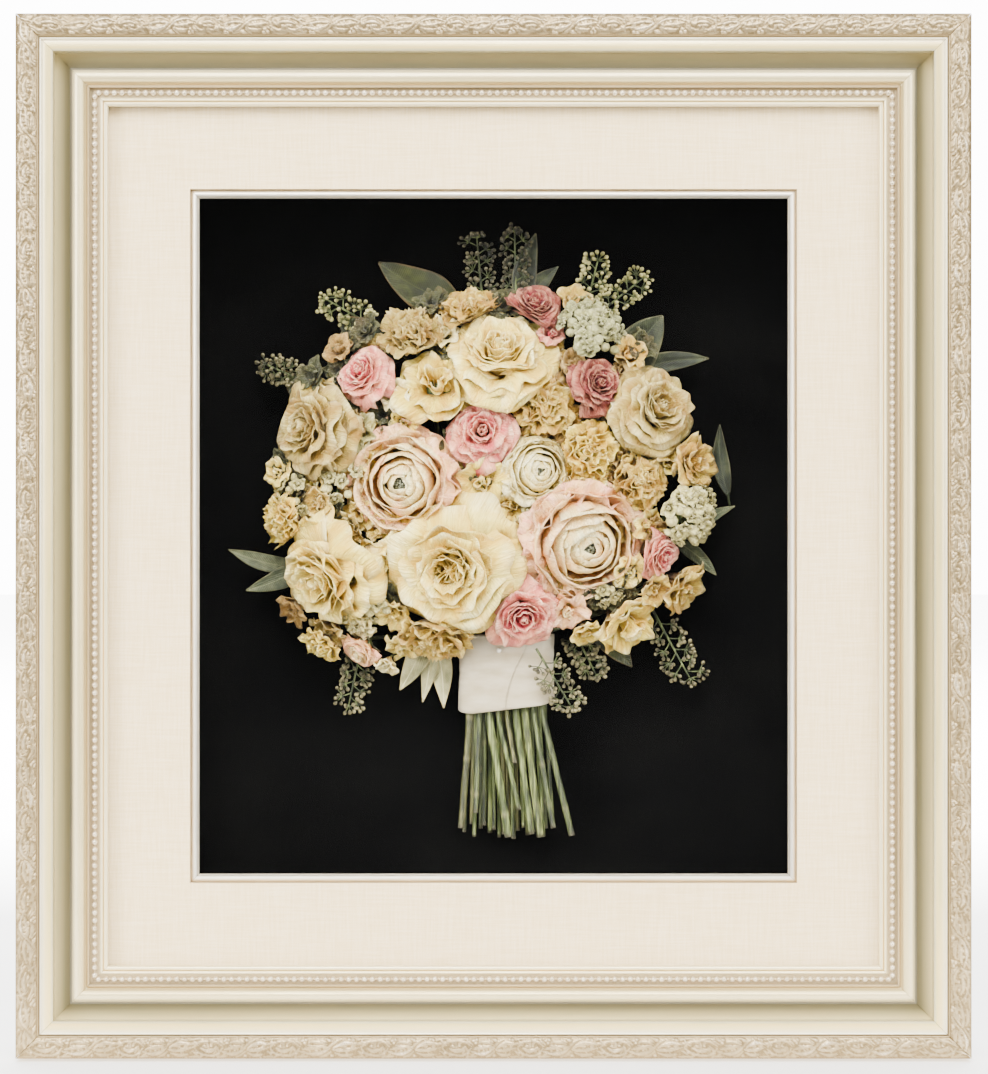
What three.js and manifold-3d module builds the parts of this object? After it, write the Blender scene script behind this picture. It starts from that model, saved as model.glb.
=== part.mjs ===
// A dried bridal bouquet kept in a deep, glazed shadow box that hangs on a wall.
// Four mitred lengths of silver moulding hold the glass, a cream mat and a slim silver fillet.
// Behind them a wooden case, lined black, gives the bouquet its depth. Each flower is one piece
// with its own stem, which runs down behind the heads, through the ribbon, to its cut end.
// Millimetres. +Z is up, the front faces -Y, and the origin is the middle of the flat back.
import * as THREE from "three";
import { mergeVertices } from "three/addons/utils/BufferGeometryUtils.js";
import Module from "manifold-3d";

const wasm = await Module();
wasm.setup();

// Driving dimensions
const FRAME_WIDTH = 611;
const FRAME_HEIGHT = 668;
const MOULDING_WIDTH = 58;
const MOULDING_DEPTH = 34;
const REBATE_WIDTH = 6.5;
const REBATE_DEPTH = 14;
const CASE_DEPTH = 96;
const CASE_WALL = 18;
const GAP = 0.3;
const GLASS_THICKNESS = 3;
const MAT_THICKNESS = 3.5;
const WINDOW_WIDTH = 391;
const WINDOW_HEIGHT = 447;
const FILLET_FACE = 5.7;
const FILLET_DEPTH = 7;
const FILLET_TUCK = 5;
const BACKING_THICKNESS = 4;
const BACKING_RECESS = 4;
const DUST_COVER = 0.6;

// Where the layers lie, from the back of the case to the front of the frame
const MOULDING_REAR = -CASE_DEPTH;
const LIP_REAR = MOULDING_REAR - REBATE_DEPTH;
const GLASS_REAR = LIP_REAR + GAP + GLASS_THICKNESS;
const MAT_FRONT = GLASS_REAR + GAP;
const MAT_REAR = MAT_FRONT + MAT_THICKNESS;
const REBATE_SPAN_X = FRAME_WIDTH - 2 * (MOULDING_WIDTH - REBATE_WIDTH);
const REBATE_SPAN_Z = FRAME_HEIGHT - 2 * (MOULDING_WIDTH - REBATE_WIDTH);

const COLOURS = {
  silver: { color: 0xd8ccb0, roughness: 0.4, metalness: 0.7 },
  glass: { color: 0xf2f6f5, roughness: 0.05, metalness: 0, transparent: true, opacity: 0.15 },
  mat: { color: 0xebe1d4, roughness: 0.95, metalness: 0 },
  black: { color: 0x121313, roughness: 1, metalness: 0 },
  wood: { color: 0x2b2622, roughness: 0.6, metalness: 0 },
  kraft: { color: 0x9b7a52, roughness: 0.9, metalness: 0 },
  ribbon: { color: 0xddd8cc, roughness: 0.45, metalness: 0 },
  cream: { color: 0xe9dcb8, roughness: 0.85, metalness: 0 },
  pink: { color: 0xd28a8c, roughness: 0.85, metalness: 0 },
  blush: { color: 0xe6cdb9, roughness: 0.85, metalness: 0 },
  yellow: { color: 0xdfcb92, roughness: 0.85, metalness: 0 },
  gold: { color: 0xc4a568, roughness: 0.85, metalness: 0 },
  white: { color: 0xe6e2cf, roughness: 0.85, metalness: 0 },
  leaf: { color: 0x5b6040, roughness: 0.8, metalness: 0 },
  seed: { color: 0x8d8a66, roughness: 0.8, metalness: 0 },
};

const part = new THREE.Group();

function add(name, geometry, colour) {
  const mesh = new THREE.Mesh(geometry, new THREE.MeshStandardMaterial(COLOURS[colour]));
  mesh.name = name;
  part.add(mesh);
  return mesh;
}

// Closed meshes as solids, to be joined and cut
function solidOf(geometry) {
  const bare = geometry.clone();
  bare.deleteAttribute("normal");
  bare.deleteAttribute("uv");
  const merged = mergeVertices(bare, 1e-3);
  return new wasm.Manifold(
    new wasm.Mesh({
      numProp: 3,
      vertProperties: new Float32Array(merged.attributes.position.array),
      triVerts: new Uint32Array(merged.index.array),
    }),
  );
}

function geometryOf(solid) {
  const mesh = solid.getMesh();
  const geometry = new THREE.BufferGeometry();
  geometry.setAttribute("position", new THREE.BufferAttribute(mesh.vertProperties, 3));
  geometry.setIndex(new THREE.BufferAttribute(mesh.triVerts, 1));
  return geometry;
}

// Points on an arc, from one angle to another in degrees
function arc(u, v, radius, from, to, steps) {
  return Array.from({ length: steps + 1 }, (_, i) => {
    const angle = THREE.MathUtils.degToRad(from + ((to - from) * i) / steps);
    return [u + radius * Math.cos(angle), v + radius * Math.sin(angle)];
  });
}

// A mitred length: the profile runs along X and its ends are cut at 45 degrees. Profile points
// are [distance in from the outer edge, height above the rear], and length is the outer edge's.
function mitredLength(profile, length) {
  const half = length / 2 - GAP / 2;
  const count = profile.length;
  const positions = [];
  for (const side of [-1, 1]) {
    for (const [u, v] of profile) positions.push(side * (half - u), -v, -u);
  }
  const contour = profile.map(([u, v]) => new THREE.Vector2(u, v));
  const caps = THREE.ShapeUtils.triangulateShape(contour, []);
  const index = [];
  for (const [a, b, c] of caps) index.push(a, b, c, count + a, count + c, count + b);
  for (let i = 0; i < count; i++) {
    const next = (i + 1) % count;
    index.push(i, count + i, next, next, count + i, count + next);
  }
  const geometry = new THREE.BufferGeometry();
  geometry.setAttribute("position", new THREE.Float32BufferAttribute(positions, 3));
  geometry.setIndex(index);
  return geometry;
}

// Four mitred lengths around a rectangle, each turned to its side
function mitredSet(name, profile, width, height, rear, colour) {
  const sides = [
    ["top", width, 0, height / 2],
    ["right", height, Math.PI / 2, width / 2],
    ["bottom", width, Math.PI, height / 2],
    ["left", height, -Math.PI / 2, width / 2],
  ];
  for (const [side, length, turn, reach] of sides) {
    const mesh = add(`${name}_${side}`, mitredLength(profile, length), colour);
    mesh.rotation.y = turn;
    mesh.position.set(reach * Math.sin(turn), rear, reach * Math.cos(turn));
  }
}

// The moulding: carved outer band, scoop, ridge, bead channel and two sight lines
const SHOULDER_HEIGHT = 31.5;
const RIDGE = { u: 39.6, v: 20.4, radius: 3.9 };
const BEAD_CHANNEL = { from: 46.6, to: 52.6, height: 18.6, string: 1 };
const mouldingProfile = [
  [0, 0],
  [MOULDING_WIDTH - REBATE_WIDTH, 0],
  [MOULDING_WIDTH - REBATE_WIDTH, REBATE_DEPTH],
  [MOULDING_WIDTH, REBATE_DEPTH],
  ...arc(56.7, 18.4, 1.3, 0, 160, 6),
  [55.0, 17.6],
  ...arc(53.9, 19.0, 0.9, -20, 180, 6),
  [BEAD_CHANNEL.to, BEAD_CHANNEL.height],
  ...arc(49.6, BEAD_CHANNEL.height, BEAD_CHANNEL.string, 0, 180, 4),
  [BEAD_CHANNEL.from, BEAD_CHANNEL.height],
  ...arc(45.8, 21.2, 0.7, -10, 190, 5),
  [44.6, 19.6],
  ...arc(RIDGE.u, RIDGE.v, RIDGE.radius, 0, 180, 12),
  ...arc(20.0, 35.2, 20.4, -47, -80, 12),
  ...arc(21.2, 18.0, 13.6, 78, 104, 6),
  [16.9, 31.2],
  ...arc(16.3, 31.6, 0.6, 0, 180, 4),
  [15.3, 30.2],
  [14.4, 31.2],
  ...arc(8.4, 20.2, 12.8, 62, 120, 8),
  [0, 29.6],
];
mitredSet("moulding", mouldingProfile, FRAME_WIDTH, FRAME_HEIGHT, MOULDING_REAR, "silver");

// Glass, mat and backing
function slab(width, height, thickness) {
  return new THREE.BoxGeometry(width, thickness, height);
}

const SHEET_WIDTH = REBATE_SPAN_X - 1;
const SHEET_HEIGHT = REBATE_SPAN_Z - 1;
const glass = add("glass", slab(SHEET_WIDTH, SHEET_HEIGHT, GLASS_THICKNESS), "glass");
glass.position.y = GLASS_REAR - GLASS_THICKNESS / 2;

function windowMat() {
  const sheet = new THREE.Shape([
    new THREE.Vector2(-SHEET_WIDTH / 2, -SHEET_HEIGHT / 2),
    new THREE.Vector2(SHEET_WIDTH / 2, -SHEET_HEIGHT / 2),
    new THREE.Vector2(SHEET_WIDTH / 2, SHEET_HEIGHT / 2),
    new THREE.Vector2(-SHEET_WIDTH / 2, SHEET_HEIGHT / 2),
  ]);
  sheet.holes.push(
    new THREE.Path([
      new THREE.Vector2(-WINDOW_WIDTH / 2, -WINDOW_HEIGHT / 2),
      new THREE.Vector2(-WINDOW_WIDTH / 2, WINDOW_HEIGHT / 2),
      new THREE.Vector2(WINDOW_WIDTH / 2, WINDOW_HEIGHT / 2),
      new THREE.Vector2(WINDOW_WIDTH / 2, -WINDOW_HEIGHT / 2),
    ]),
  );
  const geometry = new THREE.ExtrudeGeometry(sheet, { depth: MAT_THICKNESS, bevelEnabled: false });
  return geometry.rotateX(Math.PI / 2);
}
const mat = add("mat", windowMat(), "mat");
mat.position.y = MAT_REAR;

// The fillet: its face shows inside the mat's window, and its back flange lies behind the mat
const filletProfile = [
  [0, 0],
  [FILLET_TUCK + FILLET_FACE, 0],
  [FILLET_TUCK + FILLET_FACE, 4.2],
  ...arc(FILLET_TUCK + 3.4, 4.2, 2.0, 0, 180, 6),
  [FILLET_TUCK + 0.3, 3.4],
  [FILLET_TUCK + 0.3, FILLET_DEPTH - 4.4],
  [0, FILLET_DEPTH - 4.4],
];
const FILLET_REAR = MAT_REAR + GAP + FILLET_DEPTH - 4.4;
mitredSet(
  "fillet",
  filletProfile,
  WINDOW_WIDTH + 2 * FILLET_TUCK,
  WINDOW_HEIGHT + 2 * FILLET_TUCK,
  FILLET_REAR,
  "silver",
);

// The case: two long sides between a top and a bottom board
const CASE_FRONT = MOULDING_REAR + GAP;
const CASE_REAR = -DUST_COVER - GAP;
const WALL_DEPTH = CASE_REAR - CASE_FRONT;
const WALL_MIDDLE = (CASE_FRONT + CASE_REAR) / 2;
const CASE_SPAN_X = REBATE_SPAN_X + 2 * CASE_WALL;
const CASE_SPAN_Z = REBATE_SPAN_Z + 2 * CASE_WALL;
for (const [name, side] of [
  ["case_top", 1],
  ["case_bottom", -1],
]) {
  const board = add(name, slab(CASE_SPAN_X, CASE_WALL, WALL_DEPTH), "wood");
  board.position.set(0, WALL_MIDDLE, (side * (REBATE_SPAN_Z + CASE_WALL)) / 2);
}
for (const [name, side] of [
  ["case_left", -1],
  ["case_right", 1],
]) {
  const board = add(name, slab(CASE_WALL, REBATE_SPAN_Z - 2 * GAP, WALL_DEPTH), "wood");
  board.position.set((side * (REBATE_SPAN_X + CASE_WALL)) / 2, WALL_MIDDLE, 0);
}

const BACKING_FRONT = CASE_REAR - BACKING_RECESS - BACKING_THICKNESS;
const backing = add(
  "velvet_backing",
  slab(REBATE_SPAN_X - 2 * GAP, REBATE_SPAN_Z - 2 * GAP, BACKING_THICKNESS),
  "black",
);
backing.position.y = BACKING_FRONT + BACKING_THICKNESS / 2;
const cover = add("dust_cover", slab(CASE_SPAN_X - 4, CASE_SPAN_Z - 4, DUST_COVER), "kraft");
cover.position.y = -DUST_COVER / 2;

// The bouquet's places, seen from the front: x to the right and z up from the frame's middle
const BINDING = { x: 8.5, top: -66, bottom: -109.3, halfWidth: 32, halfDepth: 16, corner: 12, wall: 1.1 };
const BINDING_REAR = { top: -26, bottom: -28.5 };
const BINDING_HEM = { across: 0.117, forward: 0.335 };
const DOME = { x: -2, z: 48, halfWidth: 162, halfHeight: 128, edge: -42, rise: 28 };
const HEADS_REAR = -33;
const LEAF_LAYER = -30.7;
const STEM_ROWS = [
  { fan: -25.5, neck: -29.5, waist: -38.5, end: -42.5, columns: 9, pitch: 6 },
  { fan: -19.2, neck: -22.5, waist: -28, end: -31, columns: 10, pitch: 5.7 },
  { fan: -13, neck: -16, waist: -18.2, end: -19.5, columns: 9, pitch: 5.4 },
];

// A head is a stack of rings from the top down: [radius, height, ripple], as shares of its radius
const HEADS = {
  rose: {
    lobes: 5,
    top: 0.36,
    rings: [
      [0.24, 0.46, 0.1],
      [0.42, 0.2, 0.1],
      [0.62, 0.36, 0.1],
      [0.78, 0.06, 0.1],
      [1, 0.06, 0.08],
      [0.44, -0.5, 0],
    ],
  },
  ranunculus: {
    lobes: 5,
    top: 0.42,
    rings: [
      [0.2, 0.5, 0.04],
      [0.5, 0.4, 0.05],
      [0.72, 0.2, 0.06],
      [1, 0.04, 0.08],
      [0.42, -0.5, 0],
    ],
  },
  carnation: {
    lobes: 6,
    top: 0.3,
    rings: [
      [0.26, 0.42, 0.2],
      [0.48, 0.2, 0.2],
      [0.72, 0.3, 0.16],
      [0.98, 0.02, 0.14],
      [0.36, -0.5, 0],
    ],
  },
  trumpet: {
    lobes: 5,
    top: -0.12,
    rings: [
      [0.3, 0.1, 0.14],
      [0.66, 0.24, 0.2],
      [1, 0.1, 0.2],
      [0.62, -0.16, 0.12],
      [0.24, -0.6, 0],
    ],
  },
  cluster: {
    lobes: 5,
    top: 0.5,
    rings: [
      [0.36, 0.5, 0.26],
      [0.62, 0.24, 0.22],
      [0.94, 0.22, 0.2],
      [0.92, -0.12, 0.18],
      [0.4, -0.5, 0.1],
    ],
  },
};

// face leans a head away from the dome's own direction: [to the right, upwards], and behind
// moves a stem to a row further back
const FLOWERS = [
  { name: "rose_cream_top", kind: "rose", colour: "cream", x: 4, z: 117, radius: 39, face: [0, 0.5] },
  { name: "rose_cream_centre", kind: "rose", colour: "cream", x: -27, z: -21, radius: 46.5, face: [-0.1, 0.25] },
  { name: "rose_cream_left", kind: "rose", colour: "cream", x: -110, z: -26, radius: 38, face: [-0.3, 0], behind: 40 },
  { name: "rose_cream_upper_left", kind: "rose", colour: "cream", x: -118, z: 70, radius: 32.5, face: [-0.5, 0] },
  { name: "rose_cream_right", kind: "rose", colour: "cream", x: 105, z: 82, radius: 31.5, face: [0, 0.1] },
  { name: "ranunculus_blush_left", kind: "ranunculus", colour: "blush", x: -59, z: 35, radius: 36.5, face: [0, 0], behind: 40 },
  { name: "ranunculus_blush_right", kind: "ranunculus", colour: "blush", x: 60, z: -5, radius: 42, face: [0, 0] },
  { name: "ranunculus_white", kind: "ranunculus", colour: "white", x: 29, z: 43, radius: 24, face: [0.2, 0] },
  { name: "rose_pink_centre", kind: "rose", colour: "pink", x: -7, z: 68, radius: 25, face: [0, 0] },
  { name: "rose_pink_left", kind: "rose", colour: "pink", x: -84, z: 105, radius: 22.5, face: [-0.3, 0.2] },
  { name: "rose_pink_top", kind: "rose", colour: "pink", x: 26, z: 149, radius: 21, face: [0, 0.2] },
  { name: "rose_pink_right", kind: "rose", colour: "pink", x: 67, z: 98, radius: 22.5, face: [0.2, 0] },
  { name: "rose_pink_low", kind: "rose", colour: "pink", x: 19, z: -50, radius: 26, face: [0, 0.2] },
  { name: "rose_pink_side", kind: "rose", colour: "pink", x: 108, z: -12, radius: 18.5, face: [0.4, 0] },
  { name: "rose_blush_small", kind: "rose", colour: "blush", x: -87, z: -74, radius: 17.5, face: [0, 0.2], behind: 60 },
  { name: "carnation_gold_centre", kind: "carnation", colour: "gold", x: 32, z: 87, radius: 25, face: [0, 0] },
  { name: "carnation_yellow_right", kind: "carnation", colour: "yellow", x: 64, z: 54, radius: 23.5, face: [0, 0] },
  { name: "carnation_gold_right", kind: "carnation", colour: "gold", x: 96, z: 36, radius: 23.5, face: [0, 0] },
  { name: "carnation_gold_top", kind: "carnation", colour: "gold", x: -15, z: 148, radius: 23.5, face: [0, 0.4] },
  { name: "carnation_cream_top", kind: "carnation", colour: "cream", x: -54, z: 133, radius: 23.5, face: [0, 0.2] },
  { name: "carnation_gold_low", kind: "carnation", colour: "gold", x: -38, z: -66, radius: 28.5, face: [0, -0.7] },
  { name: "carnation_yellow_left", kind: "carnation", colour: "yellow", x: -138, z: 10, radius: 21, face: [-0.4, 0] },
  { name: "freesia_yellow_top", kind: "trumpet", colour: "yellow", x: -37, z: 99, radius: 29.5, face: [0, 0.1] },
  { name: "freesia_low_right", kind: "trumpet", colour: "yellow", x: 88, z: -57, radius: 25.5, face: [0.2, 0], behind: 60 },
  { name: "rose_beige_right", kind: "trumpet", colour: "gold", x: 124, z: -34, radius: 19.5, face: [0.3, -0.2], behind: 30 },
  { name: "lisianthus_beige_right", kind: "trumpet", colour: "gold", x: 131, z: 48, radius: 22, face: [0.4, 0] },
  { name: "stock_upper_right", kind: "cluster", colour: "white", x: 64, z: 136, radius: 25, face: [0.1, 0.2] },
  { name: "stock_right", kind: "cluster", colour: "white", x: 128, z: 15, radius: 25, face: [0.2, 0] },
];

// Rings of points closed by a top and a bottom point, faces outwards
function closedRings(rings, top, bottom) {
  const sides = rings[0].length;
  const points = [top, ...rings.flat(), bottom];
  const index = [];
  const at = (ring, i) => 1 + ring * sides + (i % sides);
  for (let i = 0; i < sides; i++) {
    index.push(0, at(0, i), at(0, i + 1));
    for (let ring = 0; ring + 1 < rings.length; ring++) {
      index.push(at(ring, i), at(ring + 1, i), at(ring, i + 1));
      index.push(at(ring, i + 1), at(ring + 1, i), at(ring + 1, i + 1));
    }
    index.push(points.length - 1, at(rings.length - 1, i + 1), at(rings.length - 1, i));
  }
  const geometry = new THREE.BufferGeometry().setFromPoints(points);
  geometry.setIndex(index);
  return geometry;
}

function headGeometry(flower) {
  const { lobes, top, rings } = HEADS[flower.kind];
  const sides = 2 * lobes;
  const rows = rings.map(([share, height, ripple], ring) =>
    Array.from({ length: sides }, (_, i) => {
      const angle = ((i + ring * 0.5) * 2 * Math.PI) / sides;
      const wave = ripple * (i % 2 ? -1 : 1);
      const radius = flower.radius * share * (1 + wave);
      const rise = flower.radius * (height + wave * 0.6);
      return new THREE.Vector3(radius * Math.cos(angle), radius * Math.sin(angle), rise);
    }),
  );
  const foot = rings[rings.length - 1][1] - 0.12;
  return closedRings(
    rows,
    new THREE.Vector3(0, 0, flower.radius * top),
    new THREE.Vector3(0, 0, flower.radius * foot),
  );
}

// Where the head sits on the bouquet's dome, and the way it faces
function placeHead(flower) {
  const across = (flower.x - DOME.x) / DOME.halfWidth;
  const up = (flower.z - DOME.z) / DOME.halfHeight;
  const height = Math.sqrt(Math.max(0, 1 - across * across - up * up));
  flower.centre = new THREE.Vector3(flower.x, DOME.edge - DOME.rise * height, flower.z);
  flower.axis = new THREE.Vector3(
    across * 0.9 + flower.face[0],
    -(0.5 + 0.7 * height),
    up * 0.9 + flower.face[1],
  ).normalize();
  const foot = HEADS[flower.kind].rings.at(-1)[1];
  flower.base = flower.centre.clone().addScaledVector(flower.axis, flower.radius * foot);
  flower.base.y = Math.min(flower.base.y, HEADS_REAR - 2);
  const run = new THREE.Vector2(flower.base.x - BINDING.x, flower.base.z - BINDING.top);
  flower.reach = run.length() + (flower.behind ?? 0);
  flower.bearing = Math.atan2(run.x, run.y);
}
FLOWERS.forEach(placeHead);

function placedHead(flower) {
  const turn = new THREE.Quaternion().setFromUnitVectors(new THREE.Vector3(0, 0, 1), flower.axis);
  return headGeometry(flower).applyQuaternion(turn).translate(...flower.centre.toArray());
}

// The binding's outline at a height: a rounded rectangle, drawn counter-clockwise from above
function bindingOutline(grow, centre) {
  const { x, halfWidth, halfDepth, corner } = BINDING;
  const radius = corner + grow;
  const quarters = [
    [1, 1, 0],
    [-1, 1, 90],
    [-1, -1, 180],
    [1, -1, 270],
  ];
  return quarters.flatMap(([sideX, sideY, from]) =>
    arc(x + sideX * (halfWidth - corner), centre + sideY * (halfDepth - corner), radius, from, from + 90, 4),
  );
}

function hemAt([x, y]) {
  const across = (x - BINDING.x) * BINDING_HEM.across;
  return BINDING.bottom + across + (y - BINDING_REAR.bottom) * BINDING_HEM.forward;
}

function ribbonWrap() {
  const { top, wall } = BINDING;
  const ring = (grow, centre, level) =>
    bindingOutline(grow, centre).map((p) => new THREE.Vector3(p[0], p[1], level(p)));
  const rings = [
    ring(0, BINDING_REAR.top, () => top),
    ring(-0.6, (BINDING_REAR.top + BINDING_REAR.bottom) / 2, (p) => (top + hemAt(p)) / 2),
    ring(0, BINDING_REAR.bottom, hemAt),
    ring(-wall, BINDING_REAR.bottom, hemAt),
    ring(-wall, BINDING_REAR.top, () => top),
  ];
  const sides = rings[0].length;
  const geometry = new THREE.BufferGeometry().setFromPoints(rings.flat());
  const index = [];
  const at = (row, i) => (row % rings.length) * sides + (i % sides);
  for (let row = 0; row < rings.length; row++) {
    for (let i = 0; i < sides; i++) {
      index.push(at(row, i), at(row + 1, i), at(row, i + 1));
      index.push(at(row, i + 1), at(row + 1, i), at(row + 1, i + 1));
    }
  }
  geometry.setIndex(index);
  return solidOf(geometry);
}

// The room the binding takes up, which the lowest heads leave free
function clearance() {
  const ring = (level, grow) =>
    bindingOutline(grow, BINDING_REAR.bottom).map((p) => new THREE.Vector3(p[0], p[1], level));
  const rings = [ring(BINDING.top + GAP, 0.4), ring(BINDING.bottom - 20, 0.4)];
  const middle = (level) => new THREE.Vector3(BINDING.x, BINDING_REAR.bottom, level);
  return solidOf(
    closedRings(rings, middle(BINDING.top + GAP), middle(BINDING.bottom - 20)),
  );
}
const bindingRoom = clearance();

// Heads press on each other: each is cut flat halfway to its neighbours, by weight of size
function pressed(flower, whole) {
  let solid = whole.trimByPlane([0, -1, 0], -HEADS_REAR);
  for (const other of FLOWERS) {
    if (other === flower) continue;
    const towards = other.centre.clone().sub(flower.centre);
    const distance = towards.length();
    if (distance > flower.radius + other.radius + 10) continue;
    towards.normalize();
    const share = (distance ** 2 + flower.radius ** 2 - other.radius ** 2) / (2 * distance);
    const limit = flower.centre.dot(towards) + share - GAP / 2;
    solid = solid.trimByPlane([-towards.x, -towards.y, -towards.z], -limit);
  }
  return solid;
}

// Stems: the nearest heads use the front row through the binding and the furthest the back row.
// The front row's cut ends are set one by one: [across, level, radius]
const FRONT_ENDS = [
  [-21.4, -193, 2.4],
  [-12, -183, 1.9],
  [10, -199, 2.7],
  [17, -181, 1.7],
  [14.2, -150, 1.5],
  [25, -197, 2.3],
  [31, -199, 2.5],
  [39.5, -193, 2],
  [51.8, -198, 2.2],
];
const END_LEVEL = -197;

function assignStems() {
  const byReach = [...FLOWERS].sort((a, b) => a.reach - b.reach);
  let first = 0;
  STEM_ROWS.forEach((row, rowIndex) => {
    const members = byReach.slice(first, first + row.columns);
    first += row.columns;
    members.sort((a, b) => a.bearing - b.bearing);
    members.forEach((flower, column) => {
      const offset = (column - (row.columns - 1) / 2) * row.pitch;
      const behind = [
        BINDING.x + offset * 1.15 + 1.5,
        END_LEVEL + 1.5 * ((column * 5 + rowIndex * 3) % 7) - 4,
        1.3 + 0.15 * (column % 3),
      ];
      const [end, level, radius] = rowIndex === 0 ? FRONT_ENDS[column] : behind;
      flower.stem = { row, slot: BINDING.x + offset, end, level, radius };
    });
  });
}
assignStems();

// A tube through a row of points, its sections turned along with the path
function tubeAlong(points, radius, sides) {
  const last = points.length - 1;
  let normal = new THREE.Vector3(0.3, 1, 0.2);
  const rings = points.map((point, i) => {
    const before = point.clone().sub(points[Math.max(0, i - 1)]).normalize();
    const after = points[Math.min(last, i + 1)].clone().sub(point).normalize();
    const tangent = before.add(after).normalize();
    normal = normal.clone().addScaledVector(tangent, -normal.dot(tangent)).normalize();
    const binormal = tangent.clone().cross(normal);
    return Array.from({ length: sides }, (_, side) => {
      const angle = (side * 2 * Math.PI) / sides;
      return point
        .clone()
        .addScaledVector(normal, radius * Math.cos(angle))
        .addScaledVector(binormal, radius * Math.sin(angle));
    });
  });
  return closedRings(rings.reverse(), points[last].clone(), points[0].clone());
}

const NECK = 13;
function stemPoints(flower) {
  const { row, slot, end, level } = flower.stem;
  const { base } = flower;
  const bindingTop = new THREE.Vector3(slot, row.neck, BINDING.top + 2);
  const run = new THREE.Vector3(slot - base.x, 0, bindingTop.z - base.z);
  const near = run.length() < 4 * NECK;
  const elbow = new THREE.Vector3(base.x, near ? row.neck - 2 : row.fan - 1.5, base.z);
  const shoulder = new THREE.Vector3(base.x, row.fan, base.z).addScaledVector(
    run.clone().normalize(),
    NECK,
  );
  const rise = bindingTop.clone().lerp(shoulder, Math.min(0.4, 40 / run.length()));
  rise.y = row.fan;
  return [
    new THREE.Vector3(end, row.end, level),
    new THREE.Vector3(slot, row.waist, BINDING.bottom - 9),
    new THREE.Vector3(slot, (row.waist + row.neck) / 2, (BINDING.bottom + BINDING.top) / 2),
    new THREE.Vector3(slot, row.neck * 0.88 + row.waist * 0.12, BINDING.top - 6),
    bindingTop,
    ...(near ? [] : [rise, shoulder]),
    elbow,
    base,
  ];
}

// A head is grooved where a neighbour's stem comes up beside it
FLOWERS.forEach((flower) => {
  const points = stemPoints(flower);
  flower.stemSolid = solidOf(tubeAlong(points, flower.stem.radius, 4));
  flower.stemRoom = solidOf(tubeAlong(points, flower.stem.radius + 0.5, 4));
});

function flowerSolid(flower) {
  let head = pressed(flower, solidOf(placedHead(flower)).subtract(bindingRoom));
  for (const other of FLOWERS) {
    if (other === flower || other.centre.distanceTo(flower.centre) > 2 * flower.radius) continue;
    head = head.subtract(other.stemRoom);
  }
  const pieces = head.decompose().sort((a, b) => b.volume() - a.volume());
  return pieces[0].add(flower.stemSolid);
}

for (const flower of FLOWERS) add(flower.name, geometryOf(flowerSolid(flower)), flower.colour);

// The satin ribbon: a hollow turn around the stems with a slanting hem
add("ribbon_wrap", geometryOf(ribbonWrap()), "ribbon");

// Leaves are thin plates folded along the midrib: from, to and width, in millimetres
function leafSolid({ from, to, width, lift = 0, depth = LEAF_LAYER }) {
  const thickness = 0.8;
  const start = new THREE.Vector2(...from);
  const along = new THREE.Vector2(...to).sub(start);
  const across = new THREE.Vector2(-along.y, along.x).normalize();
  const spine = (t) => [
    start.x + along.x * t,
    depth - lift * t * t,
    start.y + along.y * t,
  ];
  const rings = [0.88, 0.62, 0.34, 0.08].map((t) => {
    const half = (width / 2) * Math.sin(Math.PI * t ** 0.8);
    const [x, y, z] = spine(t);
    const edge = (side, depthwise) =>
      new THREE.Vector3(
        x + side * half * across.x,
        y - Math.abs(side) * half * 0.08 + depthwise,
        z + side * half * across.y,
      );
    const front = -thickness / 2;
    const back = thickness / 2;
    return [edge(1, front), edge(0, front), edge(-1, front), edge(-1, back), edge(0, back), edge(1, back)];
  });
  const tip = new THREE.Vector3(...spine(1));
  const foot = new THREE.Vector3(...spine(0));
  return solidOf(closedRings(rings, tip, foot));
}

// A seed and its stalk as one kite, narrow at the stem and widest near the far end
const SEED_RADIUS = 2.1;
function seedSolid(root, seat) {
  const along = seat.clone().sub(root).normalize();
  const across = new THREE.Vector3(0, 1, 0).cross(along).normalize();
  const outward = along.clone().cross(across);
  const waist = [0, 1, 2, 3].map((i) => {
    const angle = (i * Math.PI) / 2;
    return seat
      .clone()
      .addScaledVector(across, SEED_RADIUS * Math.cos(angle))
      .addScaledVector(outward, SEED_RADIUS * Math.sin(angle));
  });
  return solidOf(closedRings([waist], seat.clone().addScaledVector(along, SEED_RADIUS), root));
}

// Seeded eucalyptus: a thin stem with seeds on short stalks to either side of it
function sprigSolid({ from, to, spread, seeds, lift = 0, depth = LEAF_LAYER }) {
  const start = new THREE.Vector3(from[0], depth, from[1]);
  const end = new THREE.Vector3(to[0], depth - lift, to[1]);
  const middle = start.clone().lerp(end, 0.5);
  middle.y = depth - lift * 0.3;
  const path = new THREE.CatmullRomCurve3([start, middle, end], false, "centripetal");
  const across = new THREE.Vector3(start.z - end.z, 0, end.x - start.x).normalize();
  let solid = solidOf(tubeAlong([start, middle, end], 0.8, 3));
  for (let i = 0; i < seeds; i++) {
    const t = 0.35 + (0.65 * i) / (seeds - 1);
    const side = i % 2 ? 1 : -1;
    const root = path.getPointAt(t - 0.12);
    const reach = i === seeds - 1 ? 0 : spread * (0.75 + 0.25 * Math.cos(i * 2.4));
    const seat = path.getPointAt(t).addScaledVector(across, side * reach);
    seat.y -= 0.8 * lift * 0.1 * (i % 3);
    solid = solid.add(seedSolid(root, seat));
  }
  return solid;
}

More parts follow.
